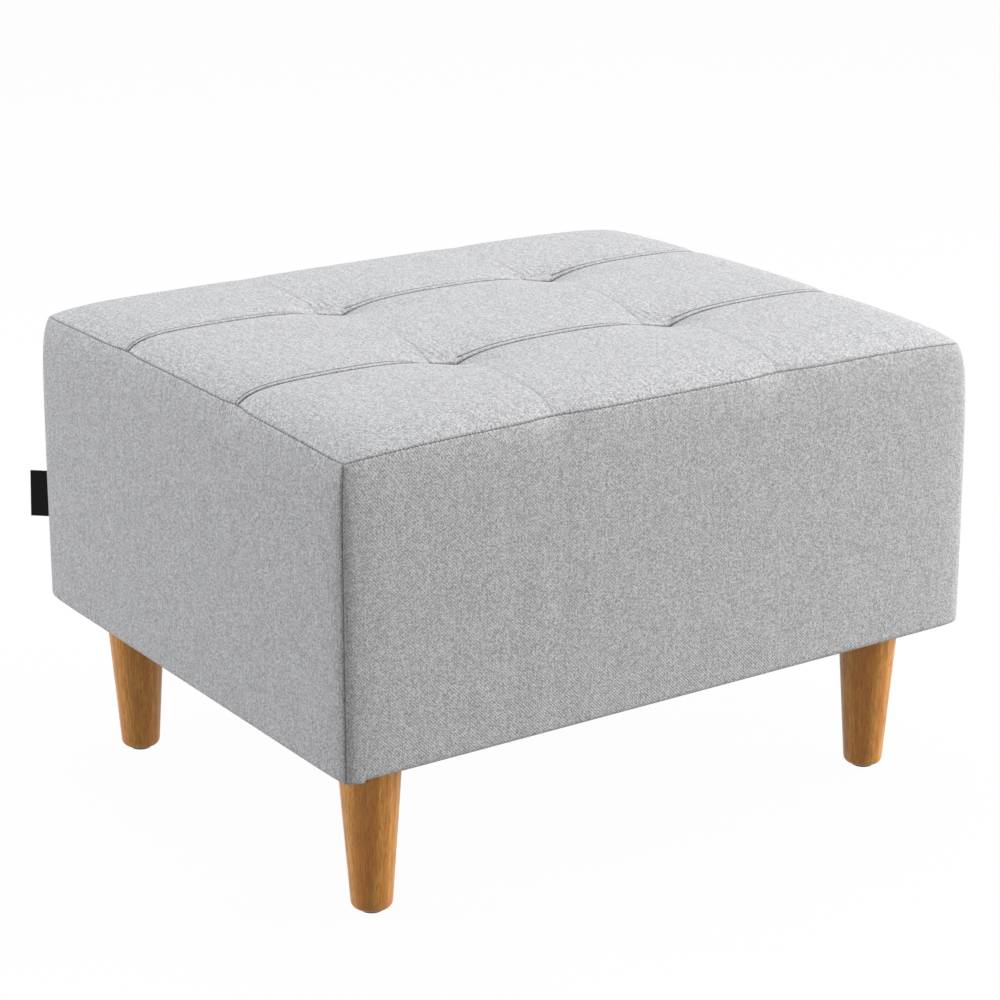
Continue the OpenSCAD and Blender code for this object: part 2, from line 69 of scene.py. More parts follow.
def new_material(name, **sockets):
    """A material, its node tree and its surface shader, with constants on the shader's sockets."""
    material = bpy.data.materials.new(name)
    material.use_nodes = True
    tree = material.node_tree
    surface = tree.nodes["Principled BSDF"]
    for key, value in sockets.items():
        surface.inputs[key.replace("_", " ")].default_value = value
    return material, tree, surface


def mixed(tree, factor, first, second):
    """The output of a colour mix. first and second are sRGB hex colours or outputs."""
    ends = [linear(c) if isinstance(c, str) else c for c in (first, second)]
    return add_node(tree, "Mix", {0: factor, 6: ends[0], 7: ends[1]}, data_type="RGBA").outputs[2]


def bumped(tree, surface, height, distance, strength=1.0):
    """Gives a surface the relief of a height output; distance is the height of 1 in metres."""
    bump = add_node(tree, "Bump", {"Height": height, "Distance": distance, "Strength": strength})
    tree.links.new(bump.outputs["Normal"], surface.inputs["Normal"])


def stretched_noise(tree, scale, detail=3.0, roughness=0.55):
    """Noise on object coordinates, with so many features a metre along each axis."""
    place = add_node(tree, "TexCoord").outputs["Object"]
    mapped = add_node(tree, "Mapping", {"Vector": place, "Scale": scale})
    return add_node(tree, "TexNoise", {
        "Vector": mapped.outputs["Vector"], "Scale": 1.0, "Detail": detail,
        "Roughness": roughness}).outputs["Fac"]


def dress(names, material):
    """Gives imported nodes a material."""
    for name in names:
        mesh = nodes[name].data
        mesh.materials.clear()
        mesh.materials.append(material)


def plywood(name, thick_axis, long_axis):
    """Birch plywood: pale faces with a fine grain, and dark and light plies on its edges."""
    material, tree, surface = new_material(name, Roughness=0.62, IOR=1.5)
    grain_scale = [260.0, 260.0, 260.0]
    grain_scale[long_axis] = 9.0
    grain = stretched_noise(tree, grain_scale)
    face = mixed(tree, grain, "#d8b98c", "#c7a273")
    place = add_node(tree, "TexCoord").outputs["Object"]
    depth = add_node(tree, "SeparateXYZ", {0: place}).outputs[thick_axis]
    ply_thickness = 1.5 * mm
    turn = add_node(tree, "Math", {0: depth, 1: math.pi / ply_thickness}, operation="MULTIPLY")
    ply = add_node(tree, "Math", {0: turn.outputs[0]}, operation="SINE")
    dark_ply = add_node(tree, "MapRange", {0: ply.outputs[0], 1: -0.3, 2: 0.3, 3: 0.0, 4: 0.55})
    tree.links.new(mixed(tree, dark_ply.outputs[0], face, "#9c7449"), surface.inputs["Base Color"])
    bumped(tree, surface, grain, 0.1 * mm)
    return material


# At scale 1 a wave texture has a band every 0.31 metres
wave_band = 0.31


def planed_pine():
    """Pine: yellow early wood with thin darker late wood along its length."""
    material, tree, surface = new_material("pine_planed", Roughness=0.5, IOR=1.5)
    place = add_node(tree, "TexCoord").outputs["Object"]
    stretched = add_node(tree, "Mapping", {"Vector": place, "Scale": (1.0, 1.0, 0.06)})
    ring_width = 3.444 * mm
    rings = add_node(tree, "TexWave", {
        "Vector": stretched.outputs["Vector"], "Scale": wave_band / ring_width, "Distortion": 4.0,
        "Detail": 2.0})
    colour = mixed(tree, rings.outputs["Fac"], "#e6c68f", "#cf9f60")
    tree.links.new(colour, surface.inputs["Base Color"])
    bumped(tree, surface, rings.outputs["Fac"], 0.1 * mm)
    return material


X, Y, Z = 0, 1, 2
corner_names = ["front_left", "front_right", "back_left", "back_right"]
dress(["seat_deck"] + ["leg_block_" + c for c in corner_names], plywood("birch_plywood_flat", Z, X))
dress(["panel_front", "panel_back"], plywood("birch_plywood_long_sides", Y, X))
dress(["panel_left", "panel_right"], plywood("birch_plywood_ends", X, Y))
dress(["deck_rail"] + ["post_" + c for c in corner_names], planed_pine())


# Fasteners: countersunk wood screws, tee nuts, hanger bolts, glide nails and staples.
# All are steel wire or bar, zinc plated after forming, so they are a cool satin grey.
def zinc_plated_steel():
    """Zinc plate: cool grey and satin, with a faint spangle."""
    material, tree, surface = new_material("zinc_plated_steel", Metallic=1.0)
    spangle = stretched_noise(tree, (700.0, 700.0, 700.0))
    colour = mixed(tree, spangle, "#b9bdc2", "#9fa4aa")
    tree.links.new(colour, surface.inputs["Base Color"])
    rough = add_node(tree, "MapRange", {0: spangle, 3: 0.28, 4: 0.45})
    tree.links.new(rough.outputs[0], surface.inputs["Roughness"])
    bumped(tree, surface, spangle, 0.02 * mm)
    return material


dress(
    ["panel_screws", "deck_screws", "rail_screws", "block_screws",
     "tee_nuts", "hanger_bolts", "glide_nails", "staples"],
    zinc_plated_steel())


# Form of the upholstery: the sides stand plumb and roll in to the edge seam, and the top rises from
# it in a soft roll. Four ties pull the top down at the strip seams, each steeper on its right, and
# the top creases from tie to tie. The strip seams and the creases draw the edge seam in a little.
half_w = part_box("cover_right")[1].x
half_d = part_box("cover_back")[1].y
under_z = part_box("cover_front")[0].z
cloth_t = 1.5 * mm
seam_h = 426.6 * mm
side_draw = 1.9 * mm
roll_in = 7.4 * mm
roll_drop = 17 * mm
top_x = half_w - side_draw - roll_in
top_y = half_d - side_draw - roll_in
end_lift = 2 * mm
tilt_x = -0.9 * mm
tilt_y = 0.8 * mm
# How much lower the edge seam lies at each corner of the top, and how far along each end
corner_drops = {(-1, -1): 6.2 * mm, (1, -1): 4.6 * mm, (-1, 1): 1.0 * mm, (1, 1): 9.7 * mm}
drop_reach_x = 57 * mm
drop_reach_y = 127 * mm
roll_h = 15.7 * mm
roll_len = 15.5 * mm
crown = 0.5 * mm
front_seam = -93 * mm
back_seam = 105 * mm
seam_sag = 3.8 * mm
sag_width = 12 * mm
# Each tie pinches the seam from its dot to its notch: seam, dot, notch
tufts = [
    (front_seam, -135 * mm, -107.5 * mm), (front_seam, 96 * mm, 126 * mm),
    (back_seam, -130 * mm, -104 * mm), (back_seam, 101.5 * mm, 132.5 * mm)]
tuft_depth = 12.2 * mm
reach_left = 41 * mm
reach_right = 27.5 * mm
reach_front = 45 * mm
reach_back = 24 * mm
# Where the creases run out over the front and back edges, left and right
crease_ends = (-124 * mm, 114 * mm)
crease_pull = 4.2 * mm
crease_pull_width = 26 * mm
seam_pull = 3.3 * mm
seam_pull_width = 18 * mm
corner_draw = 3.2 * mm
corner_reach = 12 * mm
# The right side rolls in deeper than the others, from further down
right_roll = 2.6 * mm
right_drop = 35 * mm
roll_reach = 20 * mm


def bell(distance, width):
    """A smooth hump of height 1, about so wide to each side."""
    return np.exp(-(distance / width) ** 2)


def eased(v):
    """A smooth step from 0 to 1."""
    v = np.clip(v, 0, 1)
    return v * v * (3 - 2 * v)


def edge_height(x, y):
    """Height of the edge seam, carried on across the top."""
    z = seam_h + end_lift * (1 - np.abs(y / top_y) ** 1.3) + tilt_x * x / top_x + tilt_y * y / top_y
    for (way_x, way_y), drop in corner_drops.items():
        z = z - drop * np.exp((way_x * x - top_x) / drop_reach_x + (way_y * y - top_y) / drop_reach_y)
    return z


def top_form(x, y):
    """Height of the top's outer face, without its sewn details."""
    in_x = np.maximum(top_x - np.abs(x), 0)
    in_y = np.maximum(top_y - np.abs(y), 0)
    rolled = (1 - np.exp(-in_x / roll_len)) * (1 - np.exp(-in_y / roll_len))
    z = edge_height(x, y) + crown * (1 - (x / top_x) ** 2) * (1 - (y / top_y) ** 2)
    z = z + rolled * roll_h
    for seam in (front_seam, back_seam):
        away = y - seam
        away = np.where(away < 0, (away / reach_front) ** 2, np.abs(away) / reach_back)
        pinched = np.zeros_like(z)
        for other, _, notch in tufts:
            if other == seam:
                from_notch = (np.maximum(notch - x, 0) / reach_left) ** 1.45
                from_notch = from_notch + np.maximum(x - notch, 0) / reach_right
                pinched = pinched + np.exp(-from_notch)
                depth = tuft_depth + seam_sag * bell(y - seam, 2 * sag_width)
                z = z - depth * np.exp(-np.hypot(from_notch, away))
        z = z - rolled * seam_sag * np.maximum(1 - pinched, 0) * bell(y - seam, sag_width)
    return z


def pull_at_seams(y):
    """How far the strip seams draw the edge seam in, at places along an end."""
    return seam_pull * sum(bell(y - seam, seam_pull_width) for seam in (front_seam, back_seam))


def pull_at_creases(x):
    """How far the creases draw the edge seam in, at places along the front and back."""
    return crease_pull * sum(bell(x - end, crease_pull_width) for end in crease_ends)


def drawn_in(x, y):
    """Plan position of a place on the top's flat map, with its edges and corners drawn in."""
    in_x, in_y = top_x - np.abs(x), top_y - np.abs(y)
    corner = corner_draw * np.exp(-(in_x + in_y) / corner_reach)
    pull_x = pull_at_seams(y) + np.where(x > 0, right_roll, 0)
    draw_x = corner + pull_x * np.exp(-in_x / roll_reach)
    draw_y = corner + pull_at_creases(x) * np.exp(-in_y / roll_reach)
    return x - np.sign(x) * draw_x, y - np.sign(y) * draw_y


def smooth_piece(name, form):
    """Makes a bmesh a smooth-shaded piece of that name."""
    mesh = bpy.data.meshes.new(name)
    form.to_mesh(mesh)
    form.free()
    mesh.polygons.foreach_set("use_smooth", [True] * len(mesh.polygons))
    piece = bpy.data.objects.new(name, mesh)
    bpy.context.scene.collection.objects.link(piece)
    return piece


def cloth_grid(name, across, along):
    """A mesh of cells between lines, with a cloth map in metres. Returns it and its u and v."""
    columns, rows = len(across) - 1, len(along) - 1
    grid = bmesh.new()
    bmesh.ops.create_grid(grid, x_segments=columns, y_segments=rows, size=1.0, calc_uvs=False)
    piece = smooth_piece(name, grid)
    mesh = piece.data
    flat = np.empty(len(mesh.vertices) * 3)
    mesh.vertices.foreach_get("co", flat)
    place = flat.reshape(-1, 3)
    column = np.rint((place[:, 0] + 1) / 2 * columns).astype(int)
    row = np.rint((place[:, 1] + 1) / 2 * rows).astype(int)
    u, v = np.asarray(across)[column], np.asarray(along)[row]
    corner_vertex = np.empty(len(mesh.loops), dtype=int)
    mesh.loops.foreach_get("vertex_index", corner_vertex)
    cloth_map = mesh.uv_layers.new(name="cloth")
    cloth_map.data.foreach_set("uv", np.stack([u, v], axis=1)[corner_vertex].ravel())
    return piece, u, v


def shape(piece, x, y, z):
    """Puts a piece's vertices in place."""
    piece.data.vertices.foreach_set("co", np.stack([x, y, z], axis=1).ravel())
    piece.data.update()


def lines(low, high, cell, fine=()):
    """Evenly spaced lines between two places, closer within fine's ranges (from, to, cell)."""
    places = [low, high]
    cuts = sorted([(max(low, a), min(high, b), c) for a, b, c in fine])
    start = low
    for a, b, c in cuts + [(high, high, cell)]:
        if a > start:
            places += list(np.linspace(start, a, max(2, round((a - start) / cell) + 1)))
        if b > a:
            places += list(np.linspace(a, b, max(2, round((b - a) / c) + 1)))
        start = max(start, b)
    return np.unique(np.round(places, 6))


def thickened(piece, thickness):
    """Gives a sheet its thickness, inwards from its outer face."""
    wall = piece.modifiers.new("thickness", "SOLIDIFY")
    wall.thickness = thickness
    wall.offset = -1.0


# Seat foam: one block of firm polyurethane foam glued on the deck, its edges softened by the cover.
# It is cut from a slab, so open cells show all over it.
def foam_cells(name, light, dark):
    """Polyurethane foam: matt, with open cells of about a millimetre."""
    material, tree, surface = new_material(name, Roughness=0.95, IOR=1.45)
    place = add_node(tree, "TexCoord").outputs["Object"]
    cell_size = 1.1 * mm
    cells = add_node(tree, "TexVoronoi", {"Vector": place, "Scale": 1 / cell_size})
    tree.links.new(
        mixed(tree, cells.outputs["Distance"], dark, light), surface.inputs["Base Color"])
    bumped(tree, surface, cells.outputs["Distance"], 0.4 * mm, 0.6)
    return material


cut_foam = foam_cells("cut_polyurethane_foam", "#ecdca6", "#c9b274")


def soft_block(name, low, high, upright_r, edge_r):
    """A closed block with rounded upright corners and softened edges."""
    block = bmesh.new()
    size = [b - a for a, b in zip(low, high)]
    middle = [(a + b) / 2 for a, b in zip(low, high)]
    place = Matrix.Translation(middle) @ Matrix.Diagonal(size + [1.0])
    bmesh.ops.create_cube(block, size=1.0, matrix=place)
    upright = [e for e in block.edges if abs(e.verts[0].co.z - e.verts[1].co.z) > size[2] / 2]
    bmesh.ops.bevel(
        block, geom=upright, offset=upright_r, affect="EDGES", segments=6, profile=0.5, material=-1)
    level = [e for e in block.edges if e.verts[0].co.z == e.verts[1].co.z]
    bmesh.ops.bevel(
        block, geom=level, offset=edge_r, affect="EDGES", segments=4, profile=0.5, material=-1)
    return smooth_piece(name, block)


foam_low, foam_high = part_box("seat_foam")
# The cover rolls in deepest on the right, so the block is trimmed there
foam_trim = 4 * mm
foam_high.x -= foam_trim
foam_block = soft_block("seat_foam_block", foam_low, foam_high, 12 * mm, 10 * mm)
foam_block.data.materials.append(cut_foam)
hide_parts("seat_foam")
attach(foam_block, "root")


# Side pads: thin foam glued on the outside of each panel, under the cover.
# A pad follows the cover's inner face from the hem's turn up to the edge seam.
hem_r = 6 * mm
inside_in = 23.5 * mm
low_z = under_z + hem_r
flat_len = inside_in - hem_r
turn_len = hem_r * math.pi / 2
side_len = seam_h - low_z
side_top = flat_len + turn_len + side_len
side_names = ["front", "right", "back", "left"]
# The body's upright corners: a soft wide turn and a tight one at the seam itself, which
# narrow to a point at the top
low_draw = 5.3 * mm
low_reach = 14 * mm
tight_draw = 2 * mm
point_height = 25 * mm
# The front's cloth ends in a small tab at its left corner, and hangs less at the others
tab_hang = 2.4 * mm
tab_len = 17 * mm
corner_hang = 1 * mm
hang_reach = 9 * mm
# How far down a side the pull of the creases and strip seams is felt
pull_drop = 12 * mm


def side_half(side):
    """Half the cloth's length along a side, and half the body along it and across it."""
    along, out = (half_w, half_d) if side in ("front", "back") else (half_d, half_w)
    return along - side_draw - roll_in, along, out


def turned(side, along, out):
    """Plan position from a place along a side and a distance out from the middle."""
    return {
        "front": (along, -out), "right": (out, along),
        "back": (-along, out), "left": (-out, -along)}[side]


def edge_place(side, s):
    """Where a point s along a side's upper edge lies on the top's flat map."""
    return turned(side, s, side_half(side)[2] - side_draw - roll_in)


def side_place(side, s, below, inset):
    """Plan position of a point s along a side, at a depth below the edge seam and an inset."""
    half_cloth, half_along, half_out = side_half(side)
    # The right side takes the right ends of the front and back along as it rolls in
    right_in = right_roll * np.exp(-below / right_drop)
    half_out = half_out - (right_in if side == "right" else 0)
    at_right = s > 0 if side == "front" else (s < 0) & (side == "back")
    point = np.exp(-below / point_height)
    draw = low_draw + (corner_draw - low_draw) * point
    reach = low_reach + (corner_reach - low_reach) * point
    tight = tight_draw * (1 - point)
    soft = draw - tight
    tight_reach = np.maximum(tight / (1 - (draw + soft) / reach), 0.01 * mm)
    edge_x, edge_y = edge_place(side, s)
    pull = pull_at_creases(edge_x) if side in ("front", "back") else pull_at_seams(edge_y)
    run = half_along - inset
    to_corner = run * (1 - np.abs(s) / half_cloth)
    soft_turn = np.exp(-to_corner / reach)
    out = half_out - inset - tight * np.exp(-to_corner / tight_reach) - soft * soft_turn
    out = out - pull * np.exp(-below / pull_drop)
    end_in = np.where(at_right, right_in, 0) * np.exp(-to_corner / roll_reach)
    along = np.sign(s) * (run - to_corner - draw * soft_turn - end_in)
    return turned(side, along, out)


def hem_hang(side, s):
    """How far the hem hangs at places along a side."""
    to_corner = side_half(side)[0] - np.abs(s)
    at_tab = np.where(s < 0, side == "front", side == "left")
    hang = np.where(at_tab, tab_hang, corner_hang) * np.exp(-to_corner / hang_reach)
    tab = tab_hang * eased((tab_len + mm - to_corner) / (2 * mm))
    return np.where(at_tab & (side == "front"), tab, hang)


def side_form(side, s, v, depth=0.0):
    """A point of a side at s along it and v up its cloth from the hem, at a depth below its face."""
    up = np.clip((v - flat_len - turn_len) / side_len, 0, 1)
    below = (1 - up) * side_len
    turn = np.clip((v - flat_len) / hem_r, 0, math.pi / 2)
    inset = hem_r - (hem_r - depth) * np.sin(turn) + side_draw * up * up
    inset = np.where(v < flat_len, inside_in - v, inset + roll_in * np.exp(-below / roll_drop))
    x, y = side_place(side, s, below, inset)
    rise = edge_height(*edge_place(side, s)) - low_z
    z = low_z - (hem_r - depth) * np.cos(turn) + up * rise
    return x, y, z - hem_hang(side, s) * np.exp(-up * side_len / hang_reach)


# A pad thins out where the cover rolls in over the frame
pad_t = 8.4 * mm
pad_gap = 0.2 * mm
pad_top = side_top - 3 * mm
frame_in = 11.3 * mm
for side in side_names:
    half_cloth, _, half_out = side_half(side)
    pad, s, v = cloth_grid(
        "side_pad_" + side,
        lines(-half_cloth, half_cloth, 12 * mm, [
            (-half_cloth, -half_cloth + 30 * mm, 3 * mm),
            (half_cloth - 30 * mm, half_cloth, 3 * mm)]),
        lines(flat_len, pad_top, 12 * mm, [
            (flat_len, flat_len + turn_len, 2 * mm), (side_top - 40 * mm, pad_top, 4 * mm)]))
    x, y, z = side_form(side, s, v, cloth_t + pad_gap)
    shape(pad, x, y, z)
    thickened(pad, pad_t)
    way_x, way_y = turned(side, 0.0, 1.0)
    room = frame_in - (half_out - x * way_x - y * way_y)
    thick = pad.vertex_groups.new(name="thick")
    for number, share in enumerate(np.clip(room / pad_t, 0.08, 1.0)):
        thick.add([number], float(share), "REPLACE")
    pad.modifiers["thickness"].vertex_group = "thick"
    pad.data.materials.append(cut_foam)
    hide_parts("pad_" + side)
    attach(pad, "root")


# Top wadding: polyester fibre laid over the foam, which gives the top its soft crown.
# The cover settles on it: a taut sheet held at its seams and ties sinks by about a millimetre.
wadding_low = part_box("seat_foam")[1].z
settle_cap = 1.2 * mm
settle_columns = 112
settle_rows = 92
held_at_edges = 9 * mm
held_at_seams = 8 * mm
# The wadding stops short of the edge seam, and lies clear of the folds of the cover
wadding_in = 2.2 * mm
wadding_gap = 0.7 * mm
fold_room = 2.4 * mm
foam_gap = 0.2 * mm
thinnest = 0.5 * mm


def settled_cover():
    """How the cover moves from its form when it settles: offsets on a grid over the top."""
    sheet, u, v = cloth_grid(
        "settling_cover",
        np.linspace(-top_x, top_x, settle_columns + 1),
        np.linspace(-top_y, top_y, settle_rows + 1))
    start = np.stack([*drawn_in(u, v), top_form(u, v)], axis=1)
    shape(sheet, *start.T)
    held = bell(np.minimum(top_x - np.abs(u), top_y - np.abs(v)), held_at_edges)
    for seam, dot, notch in tufts:
        held = np.maximum(held, 0.9 * bell(v - seam, held_at_seams))
        beyond = np.maximum(dot - u, 0) + np.maximum(u - notch, 0)
        held = np.maximum(held, bell(np.hypot(beyond, v - seam), held_at_edges))
    sewn = sheet.vertex_groups.new(name="sewn")
    for number, weight in enumerate(held):
        sewn.add([number], float(weight), "REPLACE")
    cloth = sheet.modifiers.new("settle", "CLOTH")
    cloth.settings.vertex_group_mass = "sewn"
    cloth.settings.quality = 6
    cloth.settings.mass = 0.3
    cloth.settings.tension_stiffness = 20
    cloth.settings.compression_stiffness = 20
    cloth.settings.shear_stiffness = 8
    cloth.settings.bending_stiffness = 2.0
    cloth.settings.shrink_min = 0.004
    cloth.settings.use_pressure = True
    cloth.settings.uniform_pressure_force = 0.8
    cloth.settings.effector_weights.gravity = 0
    cloth.collision_settings.use_collision = False
    scene = bpy.context.scene
    for step in range(1, 21):
        scene.frame_set(step)
    settled = sheet.evaluated_get(bpy.context.evaluated_depsgraph_get()).data
    after = np.empty(len(settled.vertices) * 3)
    settled.vertices.foreach_get("co", after)
    scene.frame_set(1)
    moved = after.reshape(-1, 3) - start
    far = np.linalg.norm(moved, axis=1, keepdims=True)
    moved *= settle_cap * np.tanh(far / settle_cap) / np.maximum(far, 1e-9)
    order = np.lexsort((u, v))
    bpy.data.objects.remove(sheet)
    return moved[order].reshape(settle_rows + 1, settle_columns + 1, 3)


settling = settled_cover()


def settled_by(u, v):
    """The cover's settling at places on its flat map."""
    column = np.clip((u / top_x + 1) / 2 * settle_columns, 0, settle_columns - 1e-6)
    row = np.clip((v / top_y + 1) / 2 * settle_rows, 0, settle_rows - 1e-6)
    c, r = column.astype(int), row.astype(int)
    a, b = eased(column - c)[:, None], eased(row - r)[:, None]
    low = settling[r, c] * (1 - a) + settling[r, c + 1] * a
    high = settling[r + 1, c] * (1 - a) + settling[r + 1, c + 1] * a
    return low * (1 - b) + high * b


def polyester_wadding():
    """Polyester fibre: white and matt, with loose fibres running all ways."""
    material, tree, surface = new_material("polyester_wadding", Roughness=1.0, IOR=1.45)
    fibre = stretched_noise(tree, (900.0, 900.0, 900.0), detail=6.0, roughness=0.8)
    tree.links.new(mixed(tree, fibre, "#f4f1ea", "#dcd8ce"), surface.inputs["Base Color"])
    bumped(tree, surface, fibre, 0.8 * mm, 0.7)
    return material


wadding, u, v = cloth_grid(
    "top_wadding_layer",
    lines(-top_x, top_x, 8 * mm, [(-top_x, -top_x + 24 * mm, 3 * mm), (top_x - 24 * mm, top_x, 3 * mm)]),
    lines(-top_y, top_y, 8 * mm, [(-top_y, -top_y + 24 * mm, 3 * mm), (top_y - 24 * mm, top_y, 3 * mm)]))
x, y = drawn_in(u, v)
from_edge = np.minimum(top_x - np.abs(u), top_y - np.abs(v))
z = top_form(u, v) - cloth_t - wadding_gap - fold_room * eased(from_edge / (12 * mm))
inner = np.stack([x * (1 - wadding_in / top_x), y * (1 - wadding_in / top_y), z], axis=1)
shape(wadding, *(inner + settled_by(u, v)).T)
layer = bmesh.new()
layer.from_mesh(wadding.data)
upper = layer.faces[:]
lower = bmesh.ops.duplicate(layer, geom=upper)
lower_faces = [f for f in lower["geom"] if isinstance(f, bmesh.types.BMFace)]
for vert in {vert for face in lower_faces for vert in face.verts}:
    vert.co.z = min(wadding_low + foam_gap, vert.co.z - thinnest)
bmesh.ops.reverse_faces(layer, faces=lower_faces)
rims = [e for e in layer.edges if e.is_boundary]
bmesh.ops.bridge_loops(layer, edges=rims)
bmesh.ops.recalc_face_normals(layer, faces=layer.faces[:])
layer.to_mesh(wadding.data)
layer.free()
wadding.data.materials.append(polyester_wadding())
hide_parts("top_wadding")
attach(wadding, "root")


# Ties: twisted polyester cord from each tuft down through the foam and the deck.
# Each is knotted under a moulded black polypropylene washer.
def twisted_cord():
    """Polyester cord: off-white strands that wind round at a slant."""
    material, tree, surface = new_material("twisted_polyester_cord", Roughness=0.75, IOR=1.5)
    place = add_node(tree, "TexCoord").outputs["Object"]
    lay = add_node(tree, "Mapping", {"Vector": place, "Rotation": (math.radians(35), 0.0, 0.0)})
    strand = 1.2 * mm
    twist = add_node(
        tree, "TexWave", {"Vector": lay.outputs["Vector"], "Scale": wave_band / strand},
        bands_direction="Z")
    colour = mixed(tree, twist.outputs["Fac"], "#f2efe7", "#cfcabd")
    tree.links.new(colour, surface.inputs["Base Color"])
    bumped(tree, surface, twist.outputs["Fac"], 0.3 * mm)
    return material


def moulded_black_plastic():
    """Black polypropylene: satin from the mould, with a fine spark-eroded grain."""
    material, tree, surface = new_material("moulded_black_polypropylene", IOR=1.49)
    grain = stretched_noise(tree, (1600.0, 1600.0, 1600.0))
    tree.links.new(mixed(tree, grain, "#2b2622", "#1d1a18"), surface.inputs["Base Color"])
    rough = add_node(tree, "MapRange", {0: grain, 3: 0.4, 4: 0.6})
    tree.links.new(rough.outputs[0], surface.inputs["Roughness"])
    bumped(tree, surface, grain, 0.03 * mm)
    return material


black_plastic = moulded_black_plastic()
dress(["tuft_ties"], twisted_cord())
dress(["tuft_washers"], black_plastic)


# Cover cloth: a pale grey melange twill of polyester and linen-look yarns, two over and two under.
# Its diagonals run down to the right. Each float has its own grey, and some yarns are darker.
def melange_twill():
    """The twill on the cloth map: mottled greys, with painted shade in the grooves between its diagonals.
    """
    material, tree, surface = new_material(
        "melange_twill_cloth", Roughness=0.92, IOR=1.46, Sheen_Weight=0.1, Sheen_Roughness=0.5)
    warp_pitch = 0.69 * mm
    weft_pitch = 0.74 * mm
    dash_width = 2.2 * mm
    dash_len = 3.0 * mm
    upright_slub_len = 16 * mm
    level_slub_len = 7 * mm
    tint_size = 3 * mm
    streak_width = 3 * mm
    streak_len = 45 * mm
    hole_pitch = 3.6 * mm
    flat = add_node(tree, "UVMap", uv_map="cloth").outputs[0]

    def along(scale_u, scale_v):
        """The cloth map, with so many features a metre across and along."""
        mapped = add_node(tree, "Mapping", {"Vector": flat, "Scale": (scale_u, scale_v, 1.0)})
        return mapped.outputs["Vector"]

    def maths(operation, *values):
        """The output of an operation on values or outputs."""
        return add_node(tree, "Math", dict(enumerate(values)), operation=operation).outputs[0]

    def chosen(factor, first, second):
        """The first number where the factor is 0, the second where it is 1."""
        return add_node(tree, "Mix", {0: factor, 2: first, 3: second}).outputs[0]

    def spread(value, low, high, least, most):
        """A value's range from low to high, spread from least to most."""
        return add_node(tree, "MapRange", {0: value, 1: low, 2: high, 3: least, 4: most}).outputs[0]

    def noise(vector, detail=2.0):
        """Soft noise on the cloth map."""
        return add_node(tree, "TexNoise", {
            "Vector": vector, "Scale": 1.0, "Detail": detail, "Roughness": 0.6}).outputs["Fac"]

    threads = add_node(tree, "SeparateXYZ", {0: along(1 / warp_pitch, 1 / weft_pitch)})
    warp, weft = threads.outputs[0], threads.outputs[1]
    warp_number = maths("FLOOR", warp)
    weft_number = maths("FLOOR", weft)
    step = maths("ADD", warp_number, weft_number)
    warp_over = maths("LESS_THAN", maths("FLOORED_MODULO", step, 4.0), 1.5)
    float_place = add_node(tree, "CombineXYZ", {
        0: chosen(warp_over, weft_number, warp_number),
        1: maths("FLOOR", maths("MULTIPLY", step, 0.25)),
        2: warp_over}).outputs[0]
    float_grey = add_node(tree, "TexWhiteNoise", {"Vector": float_place}).outputs["Value"]
    warp_round = maths("ABSOLUTE", maths("SINE", maths("MULTIPLY", warp, math.pi)))
    weft_round = maths("ABSOLUTE", maths("SINE", maths("MULTIPLY", weft, math.pi)))
    float_round = chosen(warp_over, weft_round, warp_round)
    wale = maths("COSINE", maths("MULTIPLY", maths("ADD", warp, weft), math.pi / 2))
    dashes = spread(noise(along(1 / dash_width, 1 / dash_len), 1.0), 0.35, 0.65, 0.4, 1.0)
    relief = maths("ADD", maths("MULTIPLY", float_round, 0.15),
                   maths("MULTIPLY", maths("MULTIPLY", wale, dashes), 0.65))

    # Slubs along single yarns, upright ones stronger
    upright_slub = noise(along(1 / warp_pitch, 1 / upright_slub_len), 1.0)
    level_slub = noise(along(1 / level_slub_len, 1 / weft_pitch), 1.0)
    slub = maths("ADD", maths("MULTIPLY", upright_slub, 0.6), maths("MULTIPLY", level_slub, 0.4))
    slub_grey = maths("MULTIPLY", spread(slub, 0.3, 0.7, 0, 1), 0.28)
    grey = maths("ADD", maths("MULTIPLY", float_grey, 0.72), slub_grey)
    woven = mixed(tree, spread(grey, 0.1, 0.75, 0, 1), "#9c9c9c", "#ebebeb")
    tint = noise(along(1 / tint_size, 1 / tint_size), 1.0)
    warm = mixed(tree, spread(tint, 0.45, 0.7, 0.0, 0.22), woven, "#bcb9b0")
    cool = mixed(tree, spread(tint, 0.55, 0.3, 0.0, 0.22), warm, "#b4b5c4")
    # Painted shade: the grooves between the diagonals are darkened in the colour
    groove_shade_painted = mixed(tree, maths("MULTIPLY", spread(wale, 0.1, -1.0, 0.0, 0.38), dashes), cool, "#565656")
    streak = noise(along(1 / streak_width, 1 / streak_len))
    streaked = mixed(tree, spread(streak, 0.48, 0.72, 0.0, 0.18), groove_shade_painted, "#7f7f7f")

    # Painted shade: the colour darkens in folds and seams, most at the needle's holes
    hole_turn = maths("MULTIPLY", maths("ADD", warp, weft), math.pi * warp_pitch / hole_pitch)
    holes = maths("ABSOLUTE", maths("SINE", hole_turn))
    painted_fold_shade = add_node(tree, "Attribute", attribute_name="painted_fold_shade").outputs["Fac"]
    dark = maths("MULTIPLY", painted_fold_shade, spread(holes, 0.0, 1.0, 0.6, 1.0))
    # The painted shade mixes the cloth's grey towards a dark grey
    tree.links.new(mixed(tree, dark, streaked, "#3e3e42"), surface.inputs["Base Color"])
    bumped(tree, surface, relief, 0.12 * mm)
    return material


cover_cloth = melange_twill()


# Top cover: three strips sewn together along the two strip seams. At each seam the strip behind
# laps over the one in front, with a row of stitches at the joint and a second row behind it.
lap = 6.3 * mm
lap_end = 14 * mm
lap_rise = 0.5 * mm
joint_groove = 1.1 * mm
joint_width = 1.0 * mm
row_groove = 0.8 * mm
row_width = 0.9 * mm
edge_in = 0.5 * mm
edge_down = 0.6 * mm
edge_width = 1.0 * mm
